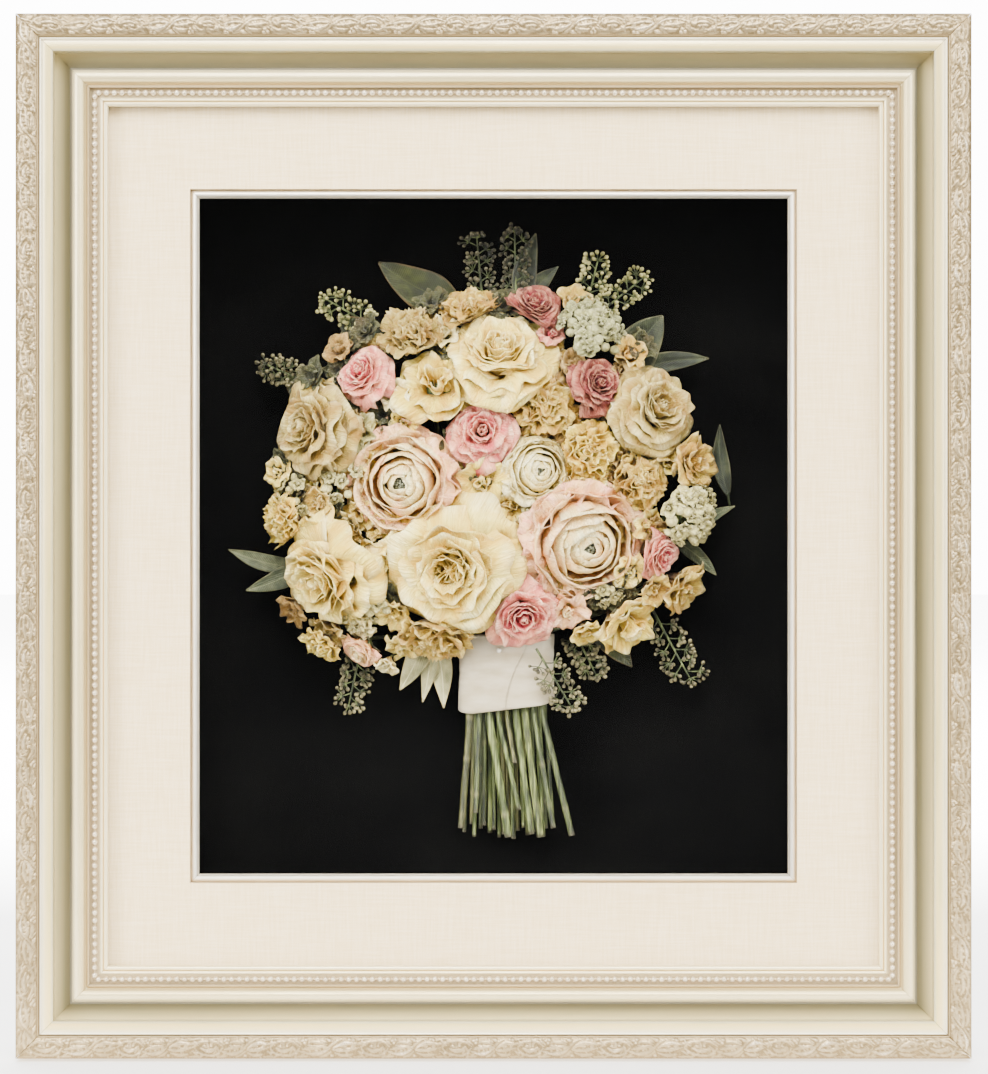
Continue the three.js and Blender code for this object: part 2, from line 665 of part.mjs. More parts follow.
const GREENERY = [
  { name: "leaf_top_left", colour: "leaf", leaves: [{ from: [-22, 154], to: [-76, 181], width: 27, lift: 8 }] },
  {
    name: "eucalyptus_top_left",
    colour: "seed",
    leaves: [{ from: [-58, 118], to: [-104, 146], width: 27 }],
    sprigs: [{ from: [-74, 136], to: [-110, 157], spread: 8, seeds: 7, lift: 6 }],
  },
  {
    name: "eucalyptus_left",
    colour: "seed",
    leaves: [{ from: [-112, 84], to: [-139, 110], width: 17 }],
    sprigs: [{ from: [-118, 99], to: [-151, 114], spread: 7, seeds: 6, lift: 4 }],
  },
  {
    name: "eucalyptus_top_centre",
    colour: "seed",
    sprigs: [{ from: [-6, 140], to: [-11, 197], spread: 9, seeds: 8, lift: 6 }],
  },
  {
    name: "eucalyptus_top_right",
    colour: "seed",
    leaves: [
      { from: [19, 152], to: [28, 201], width: 16 },
      { from: [22, 156], to: [43, 179], width: 11 },
    ],
    sprigs: [{ from: [15, 150], to: [14, 201], spread: 7, seeds: 7, lift: 5 }],
  },
  {
    name: "eucalyptus_far_right",
    colour: "seed",
    sprigs: [
      { from: [58, 138], to: [69, 182], spread: 10, seeds: 7, lift: 5 },
      { from: [60, 140], to: [99, 171], spread: 8, seeds: 6, lift: 5 },
    ],
  },
  {
    name: "leaves_upper_right",
    colour: "leaf",
    leaves: [
      { from: [86, 106], to: [112, 146], width: 30, lift: 6 },
      { from: [88, 108], to: [143, 118], width: 14 },
    ],
  },
  { name: "leaf_right_edge", colour: "leaf", leaves: [{ from: [156, 26], to: [150, 74], width: 11, lift: 4 }] },
  {
    name: "leaves_left",
    colour: "leaf",
    leaves: [
      { from: [-122, -17], to: [-164, -36], width: 14, lift: 5 },
      { from: [-126, -21], to: [-176, -9], width: 12 },
    ],
  },
  {
    name: "eucalyptus_low_left",
    colour: "seed",
    sprigs: [{ from: [-86, -64], to: [-96, -112], spread: 8, seeds: 6, lift: 2, depth: -30.1 }],
  },
  {
    name: "leaves_drooping",
    colour: "leaf",
    leaves: [
      { from: [-43, -57], to: [-62, -102], width: 17, lift: 4, depth: -30.2 },
      { from: [-43, -57], to: [-47, -110], width: 12, lift: 5, depth: -30.2 },
      { from: [-43, -57], to: [-33, -114], width: 15, lift: 5, depth: -30.2 },
    ],
  },
  {
    name: "eucalyptus_on_ribbon",
    colour: "seed",
    sprigs: [{ from: [28, -74], to: [51, -112], spread: 10, seeds: 9, depth: -49.5, lift: 2 }],
  },
  {
    name: "eucalyptus_low_centre",
    colour: "seed",
    leaves: [{ from: [64, -60], to: [92, -87], width: 16, depth: -30.2 }],
    sprigs: [{ from: [52, -60], to: [67, -92], spread: 9, seeds: 8, lift: 1, depth: -30.3 }],
  },
  {
    name: "eucalyptus_low_right",
    colour: "seed",
    sprigs: [{ from: [104, -46], to: [130, -94], spread: 11, seeds: 10, lift: 6 }],
  },
  {
    name: "leaves_low_right",
    colour: "leaf",
    leaves: [
      { from: [118, -5], to: [160, 20], width: 11, lift: 3 },
      { from: [121, -3.2], to: [148, -26], width: 10 },
    ],
  },
];

for (const { name, colour, leaves = [], sprigs = [] } of GREENERY) {
  const pieces = [...leaves.map(leafSolid), ...sprigs.map(sprigSolid)];
  add(name, geometryOf(pieces.reduce((whole, piece) => whole.add(piece))), colour);
}

export default part;
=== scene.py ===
import math

import bpy
import numpy as np
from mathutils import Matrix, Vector


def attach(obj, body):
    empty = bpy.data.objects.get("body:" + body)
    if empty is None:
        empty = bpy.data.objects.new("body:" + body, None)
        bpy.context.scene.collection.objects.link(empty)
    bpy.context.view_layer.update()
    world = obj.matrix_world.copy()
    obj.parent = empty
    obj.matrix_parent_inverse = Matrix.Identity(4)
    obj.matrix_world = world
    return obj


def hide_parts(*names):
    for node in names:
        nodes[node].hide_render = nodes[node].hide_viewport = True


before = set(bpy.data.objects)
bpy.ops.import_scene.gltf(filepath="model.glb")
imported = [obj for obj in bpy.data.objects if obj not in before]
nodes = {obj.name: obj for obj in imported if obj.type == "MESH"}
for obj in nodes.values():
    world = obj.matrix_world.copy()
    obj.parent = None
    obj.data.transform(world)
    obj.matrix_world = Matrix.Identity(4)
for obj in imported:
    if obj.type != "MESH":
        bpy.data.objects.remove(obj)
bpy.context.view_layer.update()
bpy.ops.object.select_all(action="DESELECT")


# The case is four boards of softwood stained black, glued and pinned into a deep open box. It
# hangs behind the moulding and its inner faces are black too, so that the bouquet floats.
RICHNESS = 1.3


def colour(red, green, blue):
    """A colour as a designer reads it off a swatch, 0 to 255, as the shader's own values."""
    swatch = [(c / 255) ** 2.2 for c in (red, green, blue)]
    grey = 0.21 * swatch[0] + 0.72 * swatch[1] + 0.07 * swatch[2]
    return (*[max(0.0, grey + (c - grey) * RICHNESS) for c in swatch], 1.0)


def lay(finish, kind, inputs, **settings):
    """Lays one node in a finish. An input is a number, a colour or another node's output."""
    node = finish.node_tree.nodes.new("ShaderNode" + kind)
    for key, value in settings.items():
        setattr(node, key, value)
    for key, value in inputs.items():
        if isinstance(value, bpy.types.NodeSocket):
            finish.node_tree.links.new(value, node.inputs[key])
        else:
            node.inputs[key].default_value = value
    return node


def ramp(finish, factor, stops):
    """A row of colours over 0 to 1, each stop a place and a colour."""
    node = lay(finish, "ValToRGB", {"Fac": factor})
    elements = node.color_ramp.elements
    while len(elements) < len(stops):
        elements.new(0.5)
    for element, (place, shade) in zip(elements, stops):
        element.position = place
        element.color = shade
    return node.outputs["Color"]


def blend_colour(finish, factor, first, second, way="MIX"):
    """Two colours laid over each other in one of the usual ways."""
    mixed = lay(
        finish, "Mix", {0: factor, 6: first, 7: second}, data_type="RGBA", blend_type=way
    )
    return mixed.outputs[2]


def place_of(finish, stretch=(1, 1, 1)):
    """The point on the object in metres, stretched so that a pattern runs long one way."""
    coords = lay(finish, "TexCoord", {}).outputs["Object"]
    return lay(finish, "Mapping", {"Vector": coords, "Scale": stretch}).outputs["Vector"]


def noise(finish, place, scale, detail=4.0, rough=0.5):
    """Soft cloudy noise from 0 to 1, its scale in patches to the metre."""
    return lay(
        finish, "TexNoise", {"Vector": place, "Scale": scale, "Detail": detail, "Roughness": rough}
    ).outputs["Fac"]


def worked(finish, operation, *values, **settings):
    """A sum on patterns or numbers, such as MULTIPLY, SUBTRACT or ABSOLUTE."""
    inputs = dict(enumerate(values))
    return lay(finish, "Math", inputs, operation=operation, **settings).outputs[0]


def patches(finish, pattern, start, full, most=1.0):
    """How much of a second colour lies on top: none up to start, and most from full on."""
    return ramp(finish, pattern, [(start, (0, 0, 0, 1)), (full, (most, most, most, 1))])


def new_finish(name, roughness, metallic=0.0):
    """A new finish and its shader, as rough and as metallic all over as given."""
    finish = bpy.data.materials.new(name)
    finish.use_nodes = True
    shader = finish.node_tree.nodes["Principled BSDF"]
    shader.inputs["Roughness"].default_value = roughness
    shader.inputs["Metallic"].default_value = metallic
    return finish, shader


def join(finish, output, socket):
    finish.node_tree.links.new(output, socket)


def raise_grain(finish, shader, height, distance, strength=0.6):
    """Fine relief on the shader from a height pattern; distance is in metres."""
    bump = lay(
        finish, "Bump", {"Height": height, "Distance": distance, "Strength": strength}
    )
    join(finish, bump.outputs["Normal"], shader.inputs["Normal"])


def coat(names, finish):
    """Gives CAD nodes their finish in every slot."""
    for name in names:
        mesh = nodes[name].data
        mesh.materials.clear()
        mesh.materials.append(finish)


def black_stained_wood(name, stretch):
    """Open-grained wood under a thin black stain, its grain running along the board."""
    finish, shader = new_finish(name, 0.62)
    shader.inputs["Specular IOR Level"].default_value = 0.2
    grain = noise(finish, place_of(finish, stretch), 60, 6, 0.65)
    wear = noise(finish, place_of(finish), 14, 3)
    shade = ramp(
        finish,
        grain,
        [(0.3, colour(16, 15, 14)), (0.6, colour(31, 28, 26)), (0.8, colour(44, 39, 35))],
    )
    shade = blend_colour(finish, wear, shade, colour(22, 20, 19))
    join(finish, shade, shader.inputs["Base Color"])
    raise_grain(finish, shader, grain, 0.0004)
    return finish


coat(["case_top", "case_bottom"], black_stained_wood("stained_wood_across", (1, 6, 6)))
coat(["case_left", "case_right"], black_stained_wood("stained_wood_upright", (6, 6, 1)))


# The backing is a board covered in short black velvet. It takes nearly all the light, with a
# faint bloom where the pile has been brushed, and the bouquet is wired to it.
velvet, velvet_shader = new_finish("black_velvet", 0.95)
pile = noise(velvet, place_of(velvet), 2600, 2)
brushed = noise(velvet, place_of(velvet, (1, 1, 2.2)), 9, 4)
velvet_shade = ramp(
    velvet, brushed, [(0.35, colour(6, 6, 6)), (0.7, colour(14, 14, 13))]
)
join(velvet, velvet_shade, velvet_shader.inputs["Base Color"])
velvet_shader.inputs["Specular IOR Level"].default_value = 0.06
raise_grain(velvet, velvet_shader, pile, 0.0005)
coat(["velvet_backing"], velvet)


# The back is closed with brown kraft paper glued to the rear edges of the case and trimmed
# just short of them, with the soft waves that glue leaves when it dries.
kraft, kraft_shader = new_finish("kraft_paper", 0.86)
fibres = noise(kraft, place_of(kraft, (1, 1, 5)), 420, 5, 0.7)
waves = noise(kraft, place_of(kraft, (1, 1, 0.45)), 26, 3)
flecks = noise(kraft, place_of(kraft), 500, 1)
handled = noise(kraft, place_of(kraft), 9, 4, 0.6)
kraft_shade = ramp(
    kraft,
    fibres,
    [(0.3, colour(76, 56, 35)), (0.5, colour(98, 74, 48)), (0.7, colour(122, 96, 66))],
)
kraft_shade = blend_colour(
    kraft,
    0.75,
    kraft_shade,
    ramp(kraft, handled, [(0.36, colour(182, 172, 158)), (0.62, colour(255, 252, 248))]),
    "MULTIPLY",
)
kraft_shade = blend_colour(
    kraft,
    patches(kraft, flecks, 0.66, 0.74, 0.6),
    kraft_shade,
    colour(66, 44, 24),
)
join(kraft, kraft_shade, kraft_shader.inputs["Base Color"])
WAVES_OVER_FIBRES = 12.0
kraft_relief = worked(kraft, "MULTIPLY_ADD", waves, WAVES_OVER_FIBRES, fibres)
raise_grain(kraft, kraft_shader, kraft_relief, 0.0008, 0.6)
coat(["dust_cover"], kraft)


# The moulding is four lengths of wood with a composition ornament, leafed in champagne silver.
# The leaf is painted brighter on the high parts as highlight and darker olive in the hollow as
# shade, with long faint streaks of green and rose, and the corners are mitred.
FRAME_WIDTH = 0.611
FRAME_HEIGHT = 0.668
MOULDING_WIDTH = 0.058
MOULDING_REAR = -0.096


def from_edge(finish, upright):
    """How far in from the frame's outer edge a point lies, in metres."""
    coords = lay(finish, "TexCoord", {}).outputs["Object"]
    parts = lay(finish, "SeparateXYZ", {"Vector": coords})
    along = parts.outputs["X" if upright else "Z"]
    edge = (FRAME_WIDTH if upright else FRAME_HEIGHT) / 2
    return worked(finish, "SUBTRACT", edge, worked(finish, "ABSOLUTE", along))


def champagne_silver(name, upright):
    """Silver leaf over the moulding's steps, each with its own tone from the outer edge inwards, with painted
    highlights and painted shade across them.
    """
    finish, shader = new_finish(name, 0.36, 0.35)
    stretch = (22, 22, 1.2) if upright else (1.2, 22, 22)
    streaks = noise(finish, place_of(finish, stretch), 16, 5, 0.6)
    broad = noise(finish, place_of(finish, stretch), 5, 2)
    share = worked(finish, "DIVIDE", from_edge(finish, upright), MOULDING_WIDTH)
    # Painted light across the profile: the bright stops are painted highlights on the shoulder line, the
    # ridge and the inner edge; the dark stops are painted shade in the groove, the cove and the bead channel.
    leaf_tone_and_painted_light = ramp(
        finish,
        share,
        [
            (0.0, colour(205, 190, 164)),
            (0.24, colour(200, 186, 160)),
            (0.262, colour(132, 122, 104)),
            (0.285, colour(255, 250, 232)),
            (0.33, colour(252, 234, 188)),
            (0.385, colour(252, 230, 176)),
            (0.405, colour(216, 208, 182)),
            (0.45, colour(178, 173, 152)),
            (0.53, colour(122, 120, 106)),
            (0.60, colour(92, 90, 80)),
            (0.63, colour(255, 244, 212)),
            (0.70, colour(240, 224, 186)),
            (0.77, colour(192, 178, 150)),
            (0.80, colour(164, 151, 129)),
            (0.90, colour(174, 161, 138)),
            (0.93, colour(252, 240, 208)),
        ],
    )
    tinge = ramp(
        finish,
        streaks,
        [
            (0.3, colour(224, 226, 208)),
            (0.45, colour(244, 238, 222)),
            (0.6, colour(250, 240, 222)),
            (0.75, colour(246, 226, 210)),
        ],
    )
    shade = blend_colour(finish, 0.5, leaf_tone_and_painted_light, tinge, "MULTIPLY")
    clouded = ramp(finish, broad, [(0.3, colour(206, 200, 176)), (0.7, colour(250, 242, 224))])
    shade = blend_colour(finish, 0.25, shade, clouded, "OVERLAY")
    join(finish, shade, shader.inputs["Base Color"])
    worn = lay(
        finish,
        "MapRange",
        {"Value": streaks, "From Min": 0.3, "From Max": 0.7, "To Min": 0.28, "To Max": 0.42},
    ).outputs["Result"]
    join(finish, worn, shader.inputs["Roughness"])
    raise_grain(finish, shader, streaks, 0.0002, 0.25)
    return finish


silver_across = champagne_silver("champagne_silver_across", False)
silver_upright = champagne_silver("champagne_silver_upright", True)
coat(["moulding_top", "moulding_bottom"], silver_across)
coat(["moulding_left", "moulding_right"], silver_upright)


# A thin key of wood is glued in the saw cut of each mitre and leafed with the rest, so that the
# joint shows as a fine line only. Each key follows its mitre from the outer edge to the mat.
KEY = {"from": 1.5, "to": 54.0, "rear": -97.0, "front": -106.5, "half": 0.11}
KEY_CORNERS = ((1, 1), (1, -1), (-1, -1), (-1, 1))
for number, (right, up) in enumerate(KEY_CORNERS):
    across = Vector((right, 0, -up)).normalized() * KEY["half"] / 1000
    bpy.ops.mesh.primitive_plane_add(size=1)
    key = bpy.context.object
    key.name = "mitre_key_" + str(number + 1)
    corners = []
    for reach in (KEY["from"], KEY["to"]):
        x = right * (FRAME_WIDTH / 2 - reach / 1000)
        z = up * (FRAME_HEIGHT / 2 - reach / 1000)
        corners += [(x, KEY["rear"] / 1000, z), (x, KEY["front"] / 1000, z)]
    for vertex, place in zip(key.data.vertices, corners):
        vertex.co = Vector(place) - across
    bpy.ops.object.mode_set(mode="EDIT")
    bpy.ops.mesh.select_all(action="SELECT")
    bpy.ops.mesh.extrude_region_move(TRANSFORM_OT_translate={"value": across * 2})
    bpy.ops.mesh.select_all(action="SELECT")
    bpy.ops.mesh.normals_make_consistent(inside=False)
    bpy.ops.object.mode_set(mode="OBJECT")
    key.data.materials.append(silver_upright)
    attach(key, "root")
    bpy.ops.object.select_all(action="DESELECT")


# The outer band of the moulding carries a pressed ornament of running leaves, ovals and berries.
# It is cast in lengths of composition, glued to the wood before leafing and cut at the mitres.
ORNAMENT_PERIOD = 52.0
BAND = (0.15, 14.2)
ORNAMENT_STEP = 0.68
ORNAMENT_ROWS = 23
ORNAMENT_TALLEST = 1.3
BERRY_HEIGHT = 1.15
MITRE_GAP = 0.15
# The band under it: a short slope, then a rounded crown
BAND_SLOPE = {"to": 2.0, "level": 29.6, "rise": 0.84}
BAND_CROWN = {"level": 20.2, "radius": 12.8, "middle": 8.4}
# Each rail's turn from the top one, its outer length, and how far its opposite rail is
RAILS = {"top": (0, 611, 668), "right": (90, 668, 611), "bottom": (180, 611, 668), "left": (-90, 668, 611)}

# Each leaf is a bent stroke: three points [along, inward], three half widths and its height
ORNAMENT_LEAVES = [
    ((1.0, 7.2), (7.0, 1.5), (15.5, 4.6), (0.5, 1.5, 0.5), 1.25),
    ((3.0, 8.6), (9.0, 8.0), (16.0, 6.2), (0.6, 1.3, 0.3), 1.0),
    ((2.0, 9.6), (7.0, 12.2), (11.5, 10.6), (0.5, 1.2, 0.4), 0.9),
    ((0.5, 5.0), (3.0, 2.2), (6.5, 1.6), (0.5, 0.9, 0.3), 0.8),
    ((51.0, 6.6), (45.0, 12.6), (37.0, 9.6), (0.5, 1.5, 0.5), 1.25),
    ((49.0, 5.4), (43.0, 5.8), (36.0, 7.8), (0.6, 1.3, 0.3), 1.0),
    ((50.0, 4.2), (45.0, 1.6), (40.0, 3.2), (0.5, 1.2, 0.4), 0.9),
    ((51.6, 9.0), (49.0, 12.0), (45.5, 12.8), (0.5, 0.9, 0.3), 0.8),
    ((16.5, 8.2), (19.5, 1.6), (25.5, 2.6), (0.4, 0.8, 0.7), 1.0),
    ((25.5, 2.6), (32.0, 2.4), (35.0, 7.6), (0.7, 0.8, 0.4), 1.0),
    ((16.5, 8.2), (20.0, 12.6), (26.0, 11.6), (0.4, 0.8, 0.6), 0.9),
    ((26.0, 11.6), (32.0, 12.4), (35.0, 7.6), (0.6, 0.8, 0.4), 0.9),
    ((21.5, 7.0), (26.0, 4.0), (30.5, 7.2), (0.5, 1.7, 0.5), 1.1),
    ((17.0, 12.6), (21.0, 13.6), (25.0, 12.8), (0.3, 0.7, 0.3), 0.7),
    ((29.0, 13.0), (33.0, 13.8), (37.0, 12.2), (0.3, 0.7, 0.3), 0.7),
    ((26.0, 8.4), (26.4, 9.6), (26.0, 10.6), (0.9, 0.7, 0.3), 0.8),
    ((13.0, 2.0), (16.0, 1.2), (19.5, 1.8), (0.4, 0.8, 0.3), 0.7),
    ((33.0, 1.8), (36.0, 1.2), (39.0, 1.6), (0.4, 0.8, 0.3), 0.7),
]
# Berries: [along, inward, radius]
ORNAMENT_BERRIES = [
    (12.8, 12.6, 1.0), (14.9, 12.0, 1.0), (13.6, 10.6, 0.9), (39.5, 12.4, 0.9), (41.4, 13.0, 1.0),
    (19.0, 4.0, 0.8), (33.4, 4.4, 0.8), (0.0, 12.4, 1.1), (0.0, 2.4, 1.0), (24.0, 8.6, 0.7),
    (28.2, 8.6, 0.7), (8.0, 6.0, 0.7), (44.0, 8.4, 0.7),
]

# Short tendrils fill the ground between them, each curling its own way
tendril_rng = np.random.default_rng(7)
TENDRIL_COUNT = 30
ORNAMENT_TENDRILS = []
for number in range(TENDRIL_COUNT):
    start = np.array([number * ORNAMENT_PERIOD / TENDRIL_COUNT, tendril_rng.uniform(1.6, 12.6)])
    turn = tendril_rng.uniform(0, 2 * math.pi)
    ways = [np.array([math.cos(turn + t), math.sin(turn + t)]) for t in (0.0, tendril_rng.uniform(-1.6, 1.6))]
    bend = start + ways[0] * 2.2
    tip = bend + ways[1] * tendril_rng.uniform(1.2, 2.4)
    ORNAMENT_TENDRILS.append((start, bend, tip, (0.35, 0.75, 0.4), tendril_rng.uniform(0.6, 1.1)))


def ornament_height(along, inward):
    """The ornament's relief above the band, in millimetres."""
    half = ORNAMENT_PERIOD / 2
    along = along + 2.6 * np.sin(along / 31) + 1.4 * np.sin(along / 13 + inward / 9)
    relief = 0.16 * np.sin(along * 1.9 + inward) * np.sin(inward * 1.3 - along * 0.7)
    relief += 0.14 * np.sin(along * 3.7 - inward * 1.6) * np.sin(inward * 2.9 + along * 0.31)
    for first, middle, last, widths, height in ORNAMENT_LEAVES + ORNAMENT_TENDRILS:
        best = np.full(along.shape, 9.0)
        for t in np.linspace(0, 1, 15):
            weights = ((1 - t) ** 2, 2 * t * (1 - t), t * t)
            across = sum(w * p[0] for w, p in zip(weights, (first, middle, last)))
            inset = sum(w * p[1] for w, p in zip(weights, (first, middle, last)))
            width = np.interp(t, (0, 0.5, 1), widths)
            offset = (along - across + half) % ORNAMENT_PERIOD - half
            best = np.minimum(best, np.hypot(offset, inward - inset) / width)
        rounded = height * np.sqrt(np.clip(1 - best**2, 0, 1))
        veined = 1 - 0.25 * (best < 0.22)
        relief = np.maximum(relief, rounded * veined * (0.82 + 0.18 * np.sin(along / 7)))
    for across, inset, radius in ORNAMENT_BERRIES:
        offset = (along - across + half) % ORNAMENT_PERIOD - half
        reach = np.hypot(offset, inward - inset) / radius
        relief = np.maximum(relief, BERRY_HEIGHT * np.sqrt(np.clip(1 - reach**2, 0, 1)))
    fade = np.clip(np.minimum(inward - 0.2, 14.1 - inward) / 0.8, 0, 1)
    return relief * fade


def band_level(inward):
    """The height of the plain band above the moulding's rear, in millimetres."""
    across = inward - BAND_CROWN["middle"]
    crown = BAND_CROWN["level"] + np.sqrt(np.clip(BAND_CROWN["radius"] ** 2 - across**2, 0, None))
    slope = BAND_SLOPE["level"] + BAND_SLOPE["rise"] * inward
    return np.where(inward < BAND_SLOPE["to"], slope, crown)


def add_piece(name, points, faces, finishes):
    """A mesh in millimetres becomes a piece in metres that rides on the frame's one body."""
    mesh = bpy.data.meshes.new(name)
    mesh.from_pydata((np.asarray(points) / 1000).tolist(), [], faces)
    mesh.validate()
    for finish in finishes:
        mesh.materials.append(finish)
    mesh.shade_smooth()
    piece = bpy.data.objects.new(name, mesh)
    bpy.context.scene.collection.objects.link(piece)
    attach(piece, "root")
    return piece


def store(mesh, name, values, kind="FLOAT"):
    """Keeps one number or colour for each point, for the finish to read."""
    layer = mesh.attributes.new(name, kind, "POINT")
    field = "value" if kind == "FLOAT" else "color"
    layer.data.foreach_set(field, np.asarray(values, dtype=np.float32).ravel())


def rail_points(side, along, rise, inward):
    """From a rail's own directions to the frame's: along it, forwards and inwards."""
    turn, _, apart = RAILS[side]
    angle = math.radians(turn)
    reach = apart / 2
    x = along * math.cos(angle) - inward * math.sin(angle) + reach * math.sin(angle)
    z = -along * math.sin(angle) - inward * math.cos(angle) + reach * math.cos(angle)
    return np.stack([x, MOULDING_REAR * 1000 - rise, z], axis=-1)


def leafed_ornament():
    """The same leaf, with a painted highlight on the ornament's high parts and painted shade in its ground.
    """
    finish, shader = new_finish("leafed_ornament", 0.36, 0.6)
    height = lay(finish, "Attribute", {}, attribute_name="relief").outputs["Fac"]
    speckle = noise(finish, place_of(finish), 300, 3)
    broad = noise(finish, place_of(finish), 24, 3)
    # The colour follows the relief's height: painted shade low in the ground, painted highlight on the tops.
    shade = ramp(
        finish,
        height,
        [
            (0.0, colour(148, 132, 104)),
            (0.2, colour(182, 166, 136)),
            (0.62, colour(204, 189, 160)),
            (0.78, colour(224, 210, 184)),
            (0.95, colour(255, 250, 234)),
        ],
    )
    shade = blend_colour(
        finish,
        0.35,
        shade,
        ramp(finish, broad, [(0.35, colour(200, 190, 176)), (0.65, colour(255, 246, 232))]),
        "MULTIPLY",
    )
    shade = blend_colour(
        finish,
        0.3,
        shade,
        ramp(finish, speckle, [(0.4, colour(160, 150, 128)), (0.6, colour(255, 250, 240))]),
        "MULTIPLY",
    )
    join(finish, shade, shader.inputs["Base Color"])
    raise_grain(finish, shader, speckle, 0.0006, 0.5)
    return finish


ornament_finish = leafed_ornament()
inwards = np.linspace(*BAND, ORNAMENT_ROWS)
for side, (_, length, _) in RAILS.items():
    columns = int(length / ORNAMENT_STEP)
    share, inset = np.meshgrid(np.linspace(-1, 1, columns), inwards, indexing="ij")
    reach = share * (length / 2 - MITRE_GAP - inset)
    relief = ornament_height(reach, inset)
    top = rail_points(side, reach, band_level(inset) + 0.1 + relief, inset).reshape(-1, 3)
    rims = [0, ORNAMENT_ROWS - 1]
    under = rail_points(
        side, reach[:, rims], band_level(inset[:, rims]) - 0.5, inset[:, rims]
    ).reshape(-1, 3)
    count = len(top)
    faces = []
    for i in range(columns - 1):
        for j in range(ORNAMENT_ROWS - 1):
            a = i * ORNAMENT_ROWS + j
            faces.append((a, a + 1, a + ORNAMENT_ROWS + 1, a + ORNAMENT_ROWS))
        a, b = i * ORNAMENT_ROWS, count + 2 * i
        faces.append((a, a + ORNAMENT_ROWS, b + 2, b))
        a = a + ORNAMENT_ROWS - 1
        faces.append((a + ORNAMENT_ROWS, a, b + 1, b + 3))
        faces.append((b, b + 2, b + 3, b + 1))
    last = (columns - 1) * ORNAMENT_ROWS
    faces.append((*range(ORNAMENT_ROWS - 1, -1, -1), count, count + 1))
    faces.append((*range(last, last + ORNAMENT_ROWS), count + 2 * columns - 1, count + 2 * columns - 2))
    ornament = add_piece("ornament_" + side, np.vstack([top, under]), faces, [ornament_finish])
    raised = relief.ravel() / ORNAMENT_TALLEST
    store(ornament.data, "relief", np.append(raised, np.zeros(len(under))))


# A course of small pearls runs round the frame inside the ridge, on a thin string in a hollow.
# The pearls are turned in composition, leafed brighter than the wood, and meet at the mitres.
PEARL = {"radius": 1.9, "pitch": 5.03, "inward": 49.6, "level": 19.3, "cut": 18.4}


def leafed_pearl():
    """Leaf on the small pearls, worn back to its dull ground here and there."""
    finish, shader = new_finish("leafed_pearl", 0.32, 0.6)
    place = place_of(finish)
    rub = noise(finish, place, 260, 3)
    worn = noise(finish, place, 40, 2)
    shade = ramp(finish, rub, [(0.35, colour(214, 199, 172)), (0.6, colour(244, 232, 208))])
    shade = blend_colour(finish, patches(finish, worn, 0.4, 0.7, 0.5), shade, colour(196, 180, 152))
    join(finish, shade, shader.inputs["Base Color"])
    raise_grain(finish, shader, rub, 0.0002, 0.3)
    return finish


pearl_finish = leafed_pearl()


def apply_modifier(kind, **settings):
    """Adds a modifier to the active piece, sets it and applies it."""
    piece = bpy.context.object
    bpy.ops.object.modifier_add(type=kind)
    modifier = piece.modifiers[-1]
    for key, value in settings.items():
        setattr(modifier, key, value)
    bpy.ops.object.modifier_apply(modifier=modifier.name)


for side, (_, length, _) in RAILS.items():
    run = length - 2 * PEARL["inward"]
    count = round(run / PEARL["pitch"])
    pitch = run / count
    first = -(run - pitch) / 2
    start = rail_points(side, first, PEARL["level"], PEARL["inward"])
    after = rail_points(side, first + pitch, PEARL["level"], PEARL["inward"])
    bpy.ops.mesh.primitive_uv_sphere_add(
        segments=12, ring_count=8, radius=PEARL["radius"] / 1000, location=(start / 1000).tolist()
    )
    course = bpy.context.object
    course.name = "pearls_" + side
    bpy.ops.object.transform_apply(location=True, rotation=True, scale=True)
    bpy.ops.object.mode_set(mode="EDIT")
    bpy.ops.mesh.select_all(action="SELECT")
    bpy.ops.mesh.bisect(
        plane_co=(0, MOULDING_REAR - PEARL["cut"] / 1000, 0),
        plane_no=(0, 1, 0),
        use_fill=True,
        clear_outer=True,
    )
    bpy.ops.object.mode_set(mode="OBJECT")
    apply_modifier(
        "ARRAY",
        use_relative_offset=False,
        use_constant_offset=True,
        constant_offset_displace=((after - start) / 1000).tolist(),
        count=count,
    )
    bpy.ops.object.shade_smooth_by_angle(angle=math.radians(50))
    course.data.materials.append(pearl_finish)
    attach(course, "root")
    bpy.ops.object.select_all(action="DESELECT")


# The glass is one clear sheet held in the moulding's rebate. It is coated as museum glass is,
# so that it throws back very little light.
MUSEUM_GLASS_IOR = 1.2
clear_glass, glass_shader = new_finish("picture_glass", 0.0)
glass_shader.inputs["Base Color"].default_value = (1, 1, 1, 1)
glass_shader.inputs["Transmission Weight"].default_value = 1.0
glass_shader.inputs["IOR"].default_value = MUSEUM_GLASS_IOR
glass_shader.inputs["Specular IOR Level"].default_value = 0.06
coat(["glass"], clear_glass)
nodes["glass"].visible_shadow = False


# The mat is a thick cream board covered in fine linen, with a window cut in it. The threads
# cross at right angles and some are thicker than others.
linen, linen_shader = new_finish("cream_linen", 0.92)
THREAD = {"Scale": 620, "Distortion": 1.5, "Detail": 2, "Detail Scale": 0.4}
warp, weft = [
    lay(linen, "TexWave", {"Vector": place_of(linen), **THREAD}, bands_direction=way).outputs["Fac"]
    for way in "XZ"
]
weave = worked(linen, "MULTIPLY", warp, weft)
slubs_across = noise(linen, place_of(linen, (0.05, 1, 1)), 900, 3)
slubs_upright = noise(linen, place_of(linen, (1, 1, 0.05)), 900, 3)
slubs = worked(linen, "ADD", slubs_across, slubs_upright)
linen_shade = ramp(
    linen,
    worked(linen, "MULTIPLY", slubs, 0.5),
    [(0.36, colour(224, 203, 164)), (0.5, colour(233, 213, 176)), (0.64, colour(239, 221, 189))],
)
linen_shade = blend_colour(
    linen,
    0.25,
    linen_shade,
    ramp(linen, weave, [(0.1, colour(216, 205, 190)), (0.6, colour(255, 252, 246))]),
    "MULTIPLY",
)
join(linen, linen_shade, linen_shader.inputs["Base Color"])
raise_grain(linen, linen_shader, weave, 0.00025, 0.5)
coat(["mat"], linen)
